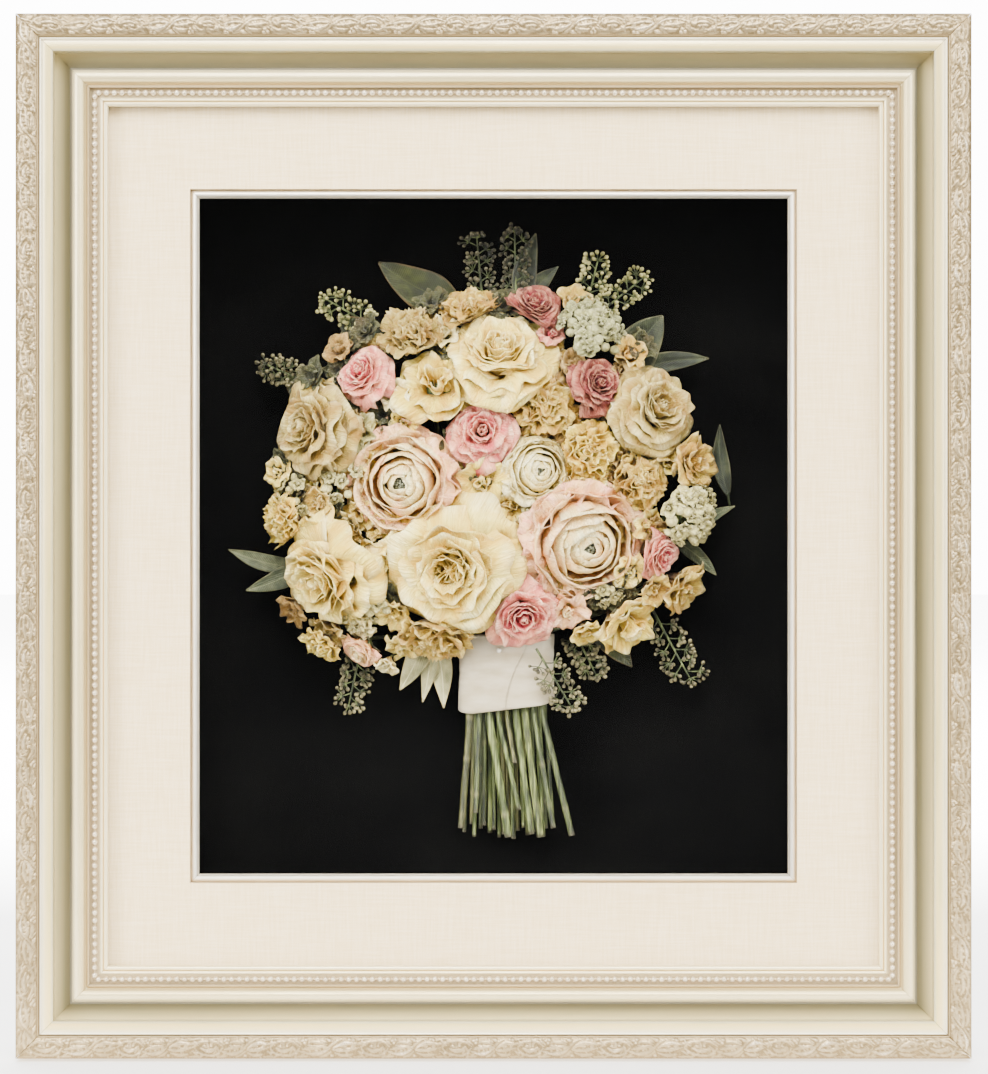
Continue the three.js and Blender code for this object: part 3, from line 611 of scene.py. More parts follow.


# The fillet is a slim silver moulding tucked under the mat, four mitred lengths round the
# window. Its rounded face is painted bright as a highlight, and the thin lines beside it are painted dark as
# shade.
WINDOW_HALF_WIDTH = 0.1895
WINDOW_HALF_HEIGHT = 0.2175
FILLET_WIDTH = 0.0065


def fillet_silver(name, upright):
    """Silver leaf on the fillet, its lines of painted highlight and painted shade running along the length.
    """
    finish, shader = new_finish(name, 0.34, 0.7)
    stretch = (30, 30, 1.5) if upright else (1.5, 30, 30)
    streaks = noise(finish, place_of(finish, stretch), 18, 4)
    coords = lay(finish, "TexCoord", {}).outputs["Object"]
    parts = lay(finish, "SeparateXYZ", {"Vector": coords})
    size = worked(finish, "ABSOLUTE", parts.outputs["X" if upright else "Z"])
    start = WINDOW_HALF_WIDTH if upright else WINDOW_HALF_HEIGHT
    share = lay(
        finish,
        "MapRange",
        {"Value": size, "From Min": start, "From Max": start + FILLET_WIDTH},
    ).outputs["Result"]
    # Painted highlight on the rounded face and painted shade in the thin lines beside it, across the fillet's
    # width.
    lines = ramp(
        finish,
        share,
        [
            (0.0, colour(150, 143, 126)),
            (0.12, colour(228, 220, 206)),
            (0.2, colour(166, 158, 140)),
            (0.3, colour(236, 230, 218)),
            (0.6, colour(232, 224, 208)),
            (0.8, colour(176, 168, 150)),
            (0.92, colour(214, 205, 188)),
        ],
    )
    shade = blend_colour(
        finish,
        0.3,
        lines,
        ramp(finish, streaks, [(0.35, colour(196, 190, 176)), (0.65, colour(255, 252, 246))]),
        "MULTIPLY",
    )
    join(finish, shade, shader.inputs["Base Color"])
    raise_grain(finish, shader, streaks, 0.0002, 0.3)
    return finish


coat(["fillet_top", "fillet_bottom"], fillet_silver("fillet_silver_across", False))
coat(["fillet_left", "fillet_right"], fillet_silver("fillet_silver_upright", True))


# The flowers were dried whole, so each keeps its own petals on its own stem. Large cream roses
# first: outer petals flare and roll back at the rim, inner ones stand close about the heart.
# In millimetres: the dome that the heads stand on, the plane behind them and the ribbon's levels
DOME = {"x": -2, "z": 48, "across": 162, "up": 128, "edge": -42, "rise": 28}
HEADS_REAR = -33.0
BINDING_TOP = -66
BINDING_FOOT = -109.3
BINDING_MIDDLE = 8.5
PETAL_HALF = 0.13
FULLNESS = 1.12
# How softly a petal gives where a neighbour or the leaves behind press on it
GIVE = {"beside": 6.0, "behind": 3.0, "reach": 10, "overlap": 0.1}

# Each flower's place, size and lean: x, z and radius in millimetres, then right and up
BLOOMS = {
    "rose_cream_top": (4, 117, 39, 0, 0.5),
    "rose_cream_centre": (-27, -21, 46.5, -0.1, 0.25),
    "rose_cream_left": (-110, -26, 38, -0.3, 0),
    "rose_cream_upper_left": (-118, 70, 32.5, -0.5, 0),
    "rose_cream_right": (105, 82, 31.5, 0, 0.1),
    "ranunculus_blush_left": (-59, 35, 36.5, 0, 0),
    "ranunculus_blush_right": (60, -5, 42, 0, 0),
    "ranunculus_white": (29, 43, 24, 0.2, 0),
    "rose_pink_centre": (-7, 68, 25, 0, 0),
    "rose_pink_left": (-84, 105, 22.5, -0.3, 0.2),
    "rose_pink_top": (26, 149, 21, 0, 0.2),
    "rose_pink_right": (67, 98, 22.5, 0.2, 0),
    "rose_pink_low": (19, -50, 26, 0, 0.2),
    "rose_pink_side": (108, -12, 18.5, 0.4, 0),
    "rose_blush_small": (-87, -74, 17.5, 0, 0.2),
    "carnation_gold_centre": (32, 87, 25, 0, 0),
    "carnation_yellow_right": (64, 54, 23.5, 0, 0),
    "carnation_gold_right": (96, 36, 23.5, 0, 0),
    "carnation_gold_top": (-15, 148, 23.5, 0, 0.4),
    "carnation_cream_top": (-54, 133, 23.5, 0, 0.2),
    "carnation_gold_low": (-38, -66, 28.5, 0, -0.7),
    "carnation_yellow_left": (-138, 10, 21, -0.4, 0),
    "freesia_yellow_top": (-37, 99, 29.5, 0, 0.1),
    "freesia_low_right": (88, -57, 25.5, 0.2, 0),
    "rose_beige_right": (124, -34, 19.5, 0.3, -0.2),
    "lisianthus_beige_right": (131, 48, 22, 0.4, 0),
    "stock_upper_right": (64, 136, 25, 0.1, 0.2),
    "stock_right": (128, 15, 25, 0.2, 0),
}
# A trumpet's foot is further down its axis than the others'
TRUMPETS = ("freesia_yellow_top", "freesia_low_right", "rose_beige_right", "lisianthus_beige_right")

# Each stem's row through the ribbon, its slot there, and its cut end's x, z and radius
STEM_ROWS = {
    "front": {"fan": -25.5, "neck": -29.5, "waist": -38.5, "end": -42.5},
    "middle": {"fan": -19.2, "neck": -22.5, "waist": -28, "end": -31},
    "back": {"fan": -13, "neck": -16, "waist": -18.2, "end": -19.5},
}
STEMS = {
    "rose_cream_top": ("back", 8.5, 10, -193.5, 1.45),
    "rose_cream_centre": ("front", -9.5, -12, -183, 1.9),
    "rose_cream_left": ("middle", -11.4, -12.9, -199.5, 1.45),
    "rose_cream_upper_left": ("back", -13.1, -14.8, -192, 1.3),
    "rose_cream_right": ("back", 30.1, 34.8, -195, 1.6),
    "ranunculus_blush_left": ("middle", -0.1, 0.2, -195, 1.3),
    "ranunculus_blush_right": ("front", 14.5, 25, -197, 2.3),
    "ranunculus_white": ("front", -3.5, 10, -199, 2.7),
    "rose_pink_centre": ("middle", 11.3, 13.3, -201, 1.6),
    "rose_pink_left": ("back", -7.7, -8.6, -195, 1.45),
    "rose_pink_top": ("back", 13.9, 16.2, -196.5, 1.6),
    "rose_pink_right": ("back", 24.7, 28.6, -192, 1.45),
    "rose_pink_low": ("front", 2.5, 17, -181, 1.7),
    "rose_pink_side": ("front", 26.5, 39.5, -193, 2),
    "rose_blush_small": ("middle", -17.2, -19.5, -196.5, 1.3),
    "carnation_gold_centre": ("middle", 17.1, 19.8, -193.5, 1.3),
    "carnation_yellow_right": ("front", 8.5, 14.2, -150, 1.5),
    "carnation_gold_right": ("front", 20.5, 31, -199, 2.5),
    "carnation_gold_top": ("back", 3.1, 3.8, -201, 1.3),
    "carnation_cream_top": ("back", -2.3, -2.4, -198, 1.6),
    "carnation_gold_low": ("front", -15.5, -21.4, -193, 2.4),
    "carnation_yellow_left": ("middle", -5.8, -6.4, -192, 1.6),
    "freesia_yellow_top": ("middle", 5.7, 6.7, -198, 1.45),
    "freesia_low_right": ("front", 32.5, 51.8, -198, 2.2),
    "rose_beige_right": ("middle", 34.2, 39.5, -192, 1.3),
    "lisianthus_beige_right": ("middle", 22.8, 26.4, -196.5, 1.45),
    "stock_upper_right": ("back", 19.3, 22.4, -199.5, 1.3),
    "stock_right": ("middle", 28.4, 32.9, -199.5, 1.6),
}


def unit(vector):
    """The same direction, one long."""
    return vector / np.linalg.norm(vector)


def seat_of(name):
    """A head's middle on the bouquet's dome, the way it faces, and where its stem joins it."""
    x, z, radius, right, up = BLOOMS[name]
    across = (x - DOME["x"]) / DOME["across"]
    over = (z - DOME["z"]) / DOME["up"]
    height = math.sqrt(max(0.0, 1 - across * across - over * over))
    middle = np.array([x, DOME["edge"] - DOME["rise"] * height, z])
    facing = unit(np.array([across * 0.9 + right, -(0.5 + 0.7 * height), over * 0.9 + up]))
    foot = middle + facing * radius * (-0.6 if name in TRUMPETS else -0.5)
    foot[1] = min(foot[1], HEADS_REAR - 2)
    return middle, facing, foot


SEATS = {name: seat_of(name) for name in BLOOMS}


def turned_to(facing, spin=0.0):
    """Three directions for a head: right, up and the way it faces, as columns."""
    right = unit(np.cross(np.array([0.0, 0.0, 1.0]), -facing))
    up = np.cross(facing, right)
    if up[2] < 0:
        right, up = -right, -up
    cos, sin = math.cos(spin), math.sin(spin)
    return np.stack([cos * right + sin * up, cos * up - sin * right, facing], axis=1)


def eased(over, soft):
    """Distances past a wall, brought back softly so that none is past it."""
    return np.where(over > -soft, -soft * np.exp(-(over + soft) / soft), over)


def pressed(name, points):
    """Petals give way where the next head presses on them, and behind, where the leaves lie."""
    middle, _, _ = SEATS[name]
    radius = BLOOMS[name][2]
    for other, (centre, _, _) in SEATS.items():
        if other == name:
            continue
        towards = centre - middle
        distance = np.linalg.norm(towards)
        size = BLOOMS[other][2]
        if distance > radius + size + GIVE["reach"]:
            continue
        towards = towards / distance
        share = (distance**2 + radius**2 - size**2) / (2 * distance)
        over = (points - middle) @ towards - share - GIVE["overlap"] * radius
        points = points + (eased(over, GIVE["beside"]) - over)[:, None] * towards
    back = points[:, 1] - HEADS_REAR
    points[:, 1] += eased(back, GIVE["behind"]) - back
    return points


class Cutting:
    """Gathers the parts of one plant piece: points, faces, finishes and what the finish reads."""

    def __init__(self):
        self.points, self.faces, self.slots, self.tones, self.across = [], [], [], [], []
        self.count = 0

    def take(self, points, faces, slot, tones, across):
        """Adds one closed part, its faces numbered from its own first point."""
        self.points.append(points)
        self.faces.append(np.asarray(faces) + self.count)
        self.slots.append(np.full(len(faces), slot))
        self.tones.append(tones)
        self.across.append(across)
        self.count += len(points)

    def make(self, name, finishes, shape=None):
        """The piece itself, its points first given a last shape if there is one."""
        points = np.vstack(self.points)
        if shape is not None:
            points = shape(points)
        faces = [tuple(f) if f[2] != f[3] else tuple(f[:3]) for f in np.vstack(self.faces).tolist()]
        piece = add_piece(name, points, faces, finishes)
        store(piece.data, "tone", np.vstack(self.tones), "FLOAT_COLOR")
        store(piece.data, "across", np.concatenate(self.across))
        slots = np.concatenate(self.slots).astype(np.int32)
        piece.data.polygons.foreach_set("material_index", slots)
        return piece


def sheet_faces(columns, rows):
    """The faces of a thin closed sheet: its front, its back and the rim between them."""
    index = np.arange(columns * rows).reshape(columns, rows)
    a, b, c, d = index[:-1, :-1], index[1:, :-1], index[1:, 1:], index[:-1, 1:]
    front = np.stack([a, b, c, d], axis=-1).reshape(-1, 4)
    back = front[:, ::-1] + columns * rows
    edge = np.concatenate([index[:-1, 0], index[-1, :-1], index[:0:-1, -1], index[0, :0:-1]])
    after = np.roll(edge, -1)
    more = columns * rows
    rim = np.stack([after, edge, edge + more, after + more], axis=-1)
    return np.vstack([front, back, rim])


SHEETS = {}


def add_sheet(cutting, points, slot, tones, across, half=PETAL_HALF):
    """Thickens a grid of points into a closed sheet and adds it to the cutting."""
    columns, rows = points.shape[:2]
    if (columns, rows) not in SHEETS:
        SHEETS[columns, rows] = sheet_faces(columns, rows)
    slope_s = np.gradient(points, axis=0)
    slope_t = np.gradient(points, axis=1)
    normal = np.cross(slope_s, slope_t)
    normal /= np.maximum(np.linalg.norm(normal, axis=-1, keepdims=True), 1e-9)
    both = np.concatenate([points + normal * half, points - normal * half]).reshape(-1, 3)
    cutting.take(
        both,
        SHEETS[columns, rows],
        slot,
        np.tile(tones.reshape(-1, 4), (2, 1)),
        np.tile(across.ravel(), 2),
    )


def crease(rng, s, t, count, low, high):
    """Soft irregular creases over a petal, between -1 and 1 or so."""
    total = np.zeros(s.shape)
    for _ in range(count):
        turn, phase = rng.uniform(0, 2 * math.pi, 2)
        pace = rng.uniform(low, high)
        total += np.sin(pace * (s * math.cos(turn) + 1.3 * t * math.sin(turn)) + phase)
    return total / math.sqrt(count)


def pleats(rng, s, t):
    """Sharp lengthwise pleats, as thin petals take when they dry, between -1 and 1 or so."""
    bent = s + 0.1 * crease(rng, s, t, 2, 1, 4)
    total = np.zeros(s.shape)
    for share in (0.5, 0.3, 0.2):
        pace = rng.uniform(3, 5.5) / share * 0.5
        total += share * (1 - 2 * np.abs(np.sin(pace * bent + rng.uniform(0, 6))))
    return total


LONGEST_PETAL = 1.12


def add_petal(cutting, rng, head, radius, form, turn, ring, detail, slot=0):
    """One petal. It grows from a foot near the axis, wraps round it, flares, and rolls at its rim."""
    columns, rows = detail
    s, t = np.meshgrid(np.linspace(-1, 1, columns), np.linspace(0, 1, rows), indexing="ij")
    notch = form.get("notch", 0.0) * np.abs(np.sin(form.get("teeth", 4) * s * 2.2 + turn * 7))
    ragged = 0.05 * crease(rng, s, 0 * t, 4, 3, 11) * t**3
    blunt = form.get("blunt", 2.4)
    reach = t * (1 - form.get("round", 0.22) * np.abs(s) ** blunt * t - notch * t**3 + ragged)
    reach = np.clip(reach, 0, LONGEST_PETAL)
    fine = np.linspace(0, LONGEST_PETAL, 45)
    first, final = form["rise"]
    rise = np.radians(first + (final - first) * np.clip(fine, 0, 1) ** 1.3)
    step = form["length"] * LONGEST_PETAL / 44
    out = form["foot"][0] + np.concatenate([[0], np.cumsum(np.cos(rise[1:]) * step)])
    up = form["foot"][1] + np.concatenate([[0], np.cumsum(np.sin(rise[1:]) * step)])
    away = np.interp(reach, fine, out)
    high = np.interp(reach, fine, up)
    slope = np.interp(reach, fine, rise)
    broad = form["width"] * (0.32 + 0.68 * np.sin(math.pi / 2 * np.clip(reach / 0.62, 0, 1)))
    bend = np.maximum(np.maximum(away, 0.04) * form.get("wrap", 1.0), broad * 0.45)
    angle = s * broad / bend
    radial = away - bend * (1 - np.cos(angle))
    side = bend * np.sin(angle)
    uneven = 1 + form.get("uneven", 0.0) * s
    roll = form.get("curl", 0.0) * (1.1 * uneven * np.abs(s) ** 3 * t + t**5)
    waves = form.get("waves", 2.5) * math.pi
    ripple = form.get("ruffle", 0.0) * np.sin(waves * s + rng.uniform(0, 6)) * t**1.6
    crumple = form.get("crumple", 0.02) * crease(rng, s, t, 4, 3, 9) * (0.25 + 0.75 * t)
    lines = pleats(rng, s, t)
    wrinkle = form.get("wrinkle", 0.022) * lines * (0.25 + 0.75 * t)
    crimp = form.get("crimp", 0.018) * np.sin(rng.uniform(9, 15) * s + rng.uniform(0, 6)) * t**5
    lift = ripple + crumple + wrinkle + crimp - roll
    radial = radial - np.sin(slope) * lift * np.cos(angle)
    side = side - np.sin(slope) * lift * np.sin(angle)
    high = high + np.cos(slope) * lift
    lean = turn + form.get("lean", 0.0) * t
    cos, sin = np.cos(lean), np.sin(lean)
    local = np.stack([radial * cos - side * sin, radial * sin + side * cos, high], axis=-1)
    middle, axes = head
    points = middle + (local * radius) @ axes.T
    edge = np.clip(np.maximum(np.abs(s) ** 4, np.clip(reach, 0, 1) ** 7), 0, 1)
    # Painted shade: the valleys of the pleats and crumples, for the finish to darken.
    crease_shade = np.clip(0.5 - 0.28 * lines - 0.12 * crumple / max(form.get("crumple", 0.02), 0.001), 0, 1)
    outer = np.full(s.shape, np.clip(ring + rng.uniform(-0.15, 0.15), 0, 1))
    tones = np.stack([np.clip(reach, 0, 1), edge, outer, crease_shade], axis=-1)
    add_sheet(cutting, points, slot, tones, s * broad * radius / 10 + rng.uniform(0, 50))


def add_whorls(cutting, rng, head, radius, whorls, detail, slot=0, spin=0.0):
    """Rings of petals from the heart outwards, each ring set in the gaps of the last."""
    turn = spin
    for number, kind in enumerate(whorls):
        ring = number / max(1, len(whorls) - 1)
        for petal in range(kind["count"]):
            form = dict(kind)
            form["length"] = kind["length"] * rng.uniform(0.88, 1.1)
            form["width"] = kind["width"] * rng.uniform(0.88, 1.14)
            form["round"] = kind.get("round", 0.24) * rng.uniform(0.6, 1.8)
            form["curl"] = kind.get("curl", 0.0) * rng.uniform(0.3, 2.0)
            form["blunt"] = rng.uniform(1.0, 2.6)
            form["uneven"] = rng.uniform(-1, 1)
            form["rise"] = (kind["rise"][0], kind["rise"][1] + rng.uniform(-1, 1) * kind.get("stray", 10))
            sway = rng.uniform(-0.16, 0.16)
            place = turn + petal * 2 * math.pi / kind["count"] + sway
            add_petal(cutting, rng, head, radius, form, place, ring, detail, slot)
        turn += math.pi / kind["count"] + 0.45


def rounded_path(points, spacing=3.0, passes=6):
    """Close points along a bent path, with its corners eased and its ends kept."""
    points = np.asarray(points, dtype=float)
    gaps = np.linalg.norm(np.diff(points, axis=0), axis=1)
    far = np.concatenate([[0], np.cumsum(gaps)])
    count = max(4, int(far[-1] / spacing))
    at = np.linspace(0, far[-1], count)
    path = np.stack([np.interp(at, far, points[:, i]) for i in range(3)], axis=-1)
    for _ in range(passes):
        path[1:-1] = (path[:-2] + 2 * path[1:-1] + path[2:]) / 4
    return path


def add_tube(cutting, path, radii, slot, tone, sides=9):
    """A round closed tube along a path. Its radius and tone are one for all or one for each point."""
    count = len(path)
    radii = np.broadcast_to(radii, count)
    tone = np.broadcast_to(tone, (count, 4))
    tangents = np.gradient(path, axis=0)
    tangents /= np.maximum(np.linalg.norm(tangents, axis=1, keepdims=True), 1e-9)
    normal = np.array([0.3, 1.0, 0.2])
    angles = np.arange(sides) * 2 * math.pi / sides
    rings = []
    for i in range(count):
        normal = normal - tangents[i] * (normal @ tangents[i])
        normal = unit(normal)
        other = np.cross(tangents[i], normal)
        spokes = np.cos(angles)[:, None] * normal + np.sin(angles)[:, None] * other
        rings.append(path[i] + radii[i] * spokes)
    points = np.vstack([*rings, path[:1], path[-1:]])
    i, j = np.meshgrid(np.arange(count - 1), np.arange(sides), indexing="ij")
    k = (j + 1) % sides
    body = np.stack([i * sides + j, i * sides + k, (i + 1) * sides + k, (i + 1) * sides + j], axis=-1)
    around = np.arange(sides)
    after = (around + 1) % sides
    start, end = count * sides, count * sides + 1
    first = np.stack([after, around, np.full(sides, start), np.full(sides, start)], axis=-1)
    last = (count - 1) * sides
    final = np.stack([last + around, last + after, np.full(sides, end), np.full(sides, end)], axis=-1)
    tones = np.repeat(tone, sides, axis=0)
    tones = np.vstack([tones, tone[:1], tone[-1:]])
    faces = np.vstack([body.reshape(-1, 4), first, final])
    cutting.take(points, faces, slot, tones, np.linspace(0, 1, len(points)))


def stem_route(name):
    """From the cut end, up through the ribbon, out behind the heads and forward into the head."""
    row, slot, end, level, _ = STEMS[name]
    row = STEM_ROWS[row]
    foot = SEATS[name][2]
    top = np.array([slot, row["neck"], BINDING_TOP + 2])
    run = np.array([slot - foot[0], 0, top[2] - foot[2]])
    far = np.linalg.norm(run)
    near = far < 52
    route = [
        [end, row["end"], level],
        [slot, row["waist"], BINDING_FOOT - 9],
        [slot, (row["waist"] + row["neck"]) / 2, (BINDING_FOOT + BINDING_TOP) / 2],
        [slot, row["neck"] * 0.88 + row["waist"] * 0.12, BINDING_TOP - 6],
        top,
    ]
    if not near:
        shoulder = np.array([foot[0], row["fan"], foot[2]]) + 13 * run / far
        rise = top + (shoulder - top) * min(0.4, 40 / far)
        rise[1] = row["fan"]
        route += [rise, shoulder]
    route += [[foot[0], row["neck"] - 2 if near else row["fan"] - 1.5, foot[2]], foot]
    return np.array(route, dtype=float)


def add_stem(cutting, rng, name):
    """The flower's own stem, with joints a finger's width apart and a cut end of its own colour."""
    radius = STEMS[name][4]
    path = rounded_path(stem_route(name))
    far = np.concatenate([[0], np.cumsum(np.linalg.norm(np.diff(path, axis=0), axis=1))])
    joints = np.zeros(len(path))
    place = rng.uniform(8, 24)
    while place < far[-1]:
        joints = np.maximum(joints, np.exp(-((far - place) / 1.2) ** 2) * rng.uniform(0.3, 1.0))
        place += rng.uniform(24, 52)
    radii = radius * (0.95 + 0.13 * joints + 0.04 * np.sin(far / 5 + rng.uniform(0, 6)))
    cut = np.exp(-far / 1.6)
    tone = np.stack([joints, cut, np.full(len(path), rng.uniform()), far / far[-1]], axis=-1)
    add_tube(cutting, path, radii, 1, tone)


def add_calyx(cutting, rng, name, head, radius):
    """The green cup behind the petals, from the stem's end to the petals' feet."""
    middle, axes = head
    foot = SEATS[name][2]
    towards = middle + axes[:, 2] * radius * -0.12
    path = rounded_path([foot - axes[:, 2] * 2, foot, (foot + towards) / 2, towards], 2.0, 2)
    share = np.linspace(0, 1, len(path))
    radii = STEMS[name][4] + (0.27 * radius - STEMS[name][4]) * np.sin(share * math.pi / 2) ** 1.4
    add_tube(cutting, path, radii, 1, (0, 0, rng.uniform(), 1), 12)
    sepal = {"foot": (0.2, -0.36), "length": 0.5, "rise": (60, -20), "width": 0.11, "wrap": 2.0, "round": 0.5}
    for number in range(5):
        add_petal(cutting, rng, head, radius, sepal, number * 1.257 + 0.3, 1.0, (5, 6), 1)


def petal_finish(name, foot, body, rim, shadow, blotch, heart=None, heart_rim=None):
    """A dried petal: a deeper foot, a creased papery body with painted shade in its creases and low in the
    head, a paler rim with a painted highlight, and brown blotches.
    """
    finish, shader = new_finish(name, 0.7)
    tone = lay(finish, "Attribute", {}, attribute_name="tone")
    parts = lay(finish, "SeparateColor", {"Color": tone.outputs["Color"]}).outputs
    across = lay(finish, "Attribute", {}, attribute_name="across").outputs["Fac"]
    reach = worked(finish, "MULTIPLY", parts["Red"], 1.5)
    grid = lay(finish, "CombineXYZ", {"X": across, "Y": reach}).outputs["Vector"]
    narrow = lay(finish, "Mapping", {"Vector": grid, "Scale": (3.4, 0.5, 1)}).outputs["Vector"]
    wide = lay(finish, "Mapping", {"Vector": grid, "Scale": (1.3, 0.6, 1)}).outputs["Vector"]
    veins = noise(finish, narrow, 3.0, 5, 0.62)
    sheet = noise(finish, wide, 3.0, 3, 0.55)
    off = worked(finish, "ABSOLUTE", worked(finish, "SUBTRACT", sheet, 0.5))
    fold = worked(finish, "MULTIPLY", off, 9.0, use_clamp=True)
    cloud = noise(finish, place_of(finish), 55, 4, 0.6)
    full = body
    if heart is not None:
        full = ramp(finish, parts["Blue"], [(0.3, heart), (0.9, body)])
    if heart_rim is not None:
        rim = ramp(finish, parts["Blue"], [(0.45, heart_rim), (0.85, rim)])
    shade = blend_colour(finish, patches(finish, parts["Red"], 0.1, 0.6), foot, full)
    # The rim is partly the petal's own paling and partly a painted highlight on the thin lit rims.
    rim_paling_and_highlight = worked(finish, "MULTIPLY", parts["Green"], veins)
    shade = blend_colour(finish, patches(finish, rim_paling_and_highlight, 0.12, 0.42, 0.92), shade, rim)
    veined = ramp(finish, veins, [(0.3, (0.72, 0.66, 0.52, 1)), (0.56, (1, 1, 1, 1))])
    shade = blend_colour(finish, 0.5, shade, veined, "MULTIPLY")
    # Painted shade along the fold lines of the creases.
    creased = ramp(finish, fold, [(0.0, (0.66, 0.58, 0.42, 1)), (0.4, (1, 1, 1, 1))])
    shade = blend_colour(finish, 0.6, shade, creased, "MULTIPLY")
    shade = blend_colour(finish, patches(finish, cloud, 0.47, 0.68, 0.75), shade, blotch)
    # Painted shade: the valleys of the pleats and crumples take the darker foot colour.
    crease_shade = patches(finish, tone.outputs["Alpha"], 0.46, 0.9, 0.8)
    shade = blend_colour(finish, crease_shade, shade, foot)
    # Painted shade low in the head, where the petals' feet lie, in the shadow colour.
    deep = worked(finish, "SUBTRACT", 1.0, parts["Red"])
    shade = blend_colour(finish, patches(finish, deep, 0.3, 0.85, 0.95), shade, shadow)
    join(finish, shade, shader.inputs["Base Color"])
    shader.inputs["Sheen Weight"].default_value = 0.06
    shader.inputs["Sheen Roughness"].default_value = 0.5
    paper = worked(finish, "MULTIPLY_ADD", fold, 0.7, veins)
    raise_grain(finish, shader, paper, 0.0013, 0.75)
    return finish


def stem_finish():
    """A dried stem, ridged lengthwise and paler at its joints; each stem has its own green."""
    finish, shader = new_finish("dried_stem", 0.62)
    tone = lay(finish, "Attribute", {}, attribute_name="tone")
    parts = lay(finish, "SeparateColor", {"Color": tone.outputs["Color"]}).outputs
    ridges = noise(finish, place_of(finish, (9, 9, 0.5)), 60, 4)
    shade = ramp(
        finish,
        ridges,
        [(0.32, colour(28, 32, 16)), (0.5, colour(64, 70, 42)), (0.66, colour(122, 128, 90))],
    )
    kind = ramp(
        finish,
        parts["Blue"],
        [
            (0.0, (0.3, 0.31, 0.24, 1)),
            (0.3, (0.62, 0.66, 0.54, 1)),
            (0.6, (1.25, 1.28, 1.14, 1)),
            (0.8, (1.5, 1.46, 1.4, 1)),
            (0.94, (0.8, 0.6, 0.5, 1)),
        ],
    )
    shade = blend_colour(finish, 0.85, shade, kind, "MULTIPLY")
    joint = worked(finish, "MULTIPLY", parts["Red"], 0.4)
    shade = blend_colour(finish, joint, shade, colour(142, 136, 104))
    shade = blend_colour(finish, parts["Green"], shade, colour(84, 80, 68))
    join(finish, shade, shader.inputs["Base Color"])
    raise_grain(finish, shader, ridges, 0.0004, 0.6)
    return finish


dried_stem = stem_finish()
cream_petal = petal_finish(
    "cream_rose_petal",
    colour(202, 160, 70),
    colour(238, 222, 148),
    colour(250, 240, 188),
    colour(112, 78, 28),
    colour(212, 180, 96),
)

def whorl(count, foot, length, rise, width, **shape):
    """One ring of petals. Feet, lengths and widths are shares of the head's radius."""
    return {"count": count, "foot": foot, "length": length, "rise": rise, "width": width, **shape}


# From the heart outwards: a petal rises at the first angle at its foot and the second at its tip
ROSE = [
    whorl(3, (0.03, -0.1), 0.5, (88, 104), 0.15, lean=0.5, wrinkle=0.005),
    whorl(4, (0.08, -0.15), 0.57, (84, 96), 0.22, lean=0.4, wrinkle=0.007),
    whorl(4, (0.13, -0.2), 0.64, (82, 82), 0.32, lean=0.3, curl=0.03, wrinkle=0.009),
    whorl(4, (0.15, -0.22), 0.68, (80, 72), 0.38, lean=0.15, curl=0.04, crumple=0.02, wrinkle=0.01),
    whorl(5, (0.17, -0.25), 0.72, (76, 58), 0.44, curl=0.06, crumple=0.035, wrinkle=0.01),
    whorl(5, (0.19, -0.28), 0.76, (72, 46), 0.48, wrap=1.1, curl=0.09, ruffle=0.02, crumple=0.045,
          wrinkle=0.01),
    whorl(5, (0.2, -0.3), 0.8, (68, 34), 0.5, wrap=1.15, curl=0.13, ruffle=0.03, crumple=0.06, wrinkle=0.01),
    whorl(5, (0.22, -0.36), 0.88, (58, 10), 0.58, wrap=1.3, curl=0.17, ruffle=0.06, waves=1.6,
          crumple=0.085, wrinkle=0.01, stray=16),
    whorl(5, (0.22, -0.42), 0.92, (46, -14), 0.6, wrap=1.5, curl=0.19, ruffle=0.08, waves=1.6,
          crumple=0.1, wrinkle=0.01, stray=18),
]


def grow(name, whorls, finishes, detail, seed, spin=0.0, extra=None):
    """One whole flower: stem, cup and petals, in place of its plain solid."""
    rng = np.random.default_rng(seed)
    radius = BLOOMS[name][2] * FULLNESS
    middle, facing, _ = SEATS[name]
    head = (middle, turned_to(facing, spin))
    bloom = Cutting()
    add_stem(bloom, rng, name)
    stem_points = bloom.count
    add_calyx(bloom, rng, name, head, radius)
    if whorls:
        add_whorls(bloom, rng, head, radius, whorls, detail, 0, spin)
    if extra is not None:
        extra(bloom, rng, head, radius)

    def shape(points):
        held = points.copy()
        held[stem_points:] = pressed(name, points[stem_points:])
        return held

    piece = bloom.make(name + "_dried", finishes, shape)
    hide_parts(name)
    return piece


def quartered_heart(bloom, rng, head, radius):
    """The old-fashioned heart of the biggest rose: four small bundles of petals facing inwards."""
    middle, axes = head
    bundle = [
        whorl(3, (0.04, -0.1), 0.3, (86, 96), 0.1),
        whorl(4, (0.09, -0.12), 0.34, (80, 84), 0.17, curl=0.02),
    ]
    for number in range(4):
        angle = number * math.pi / 2 + 0.5
        place = middle + axes @ np.array([math.cos(angle) * 0.17, math.sin(angle) * 0.17, 0.02]) * radius
        add_whorls(bloom, rng, (place, axes), radius, bundle, (7, 8), 0, angle)


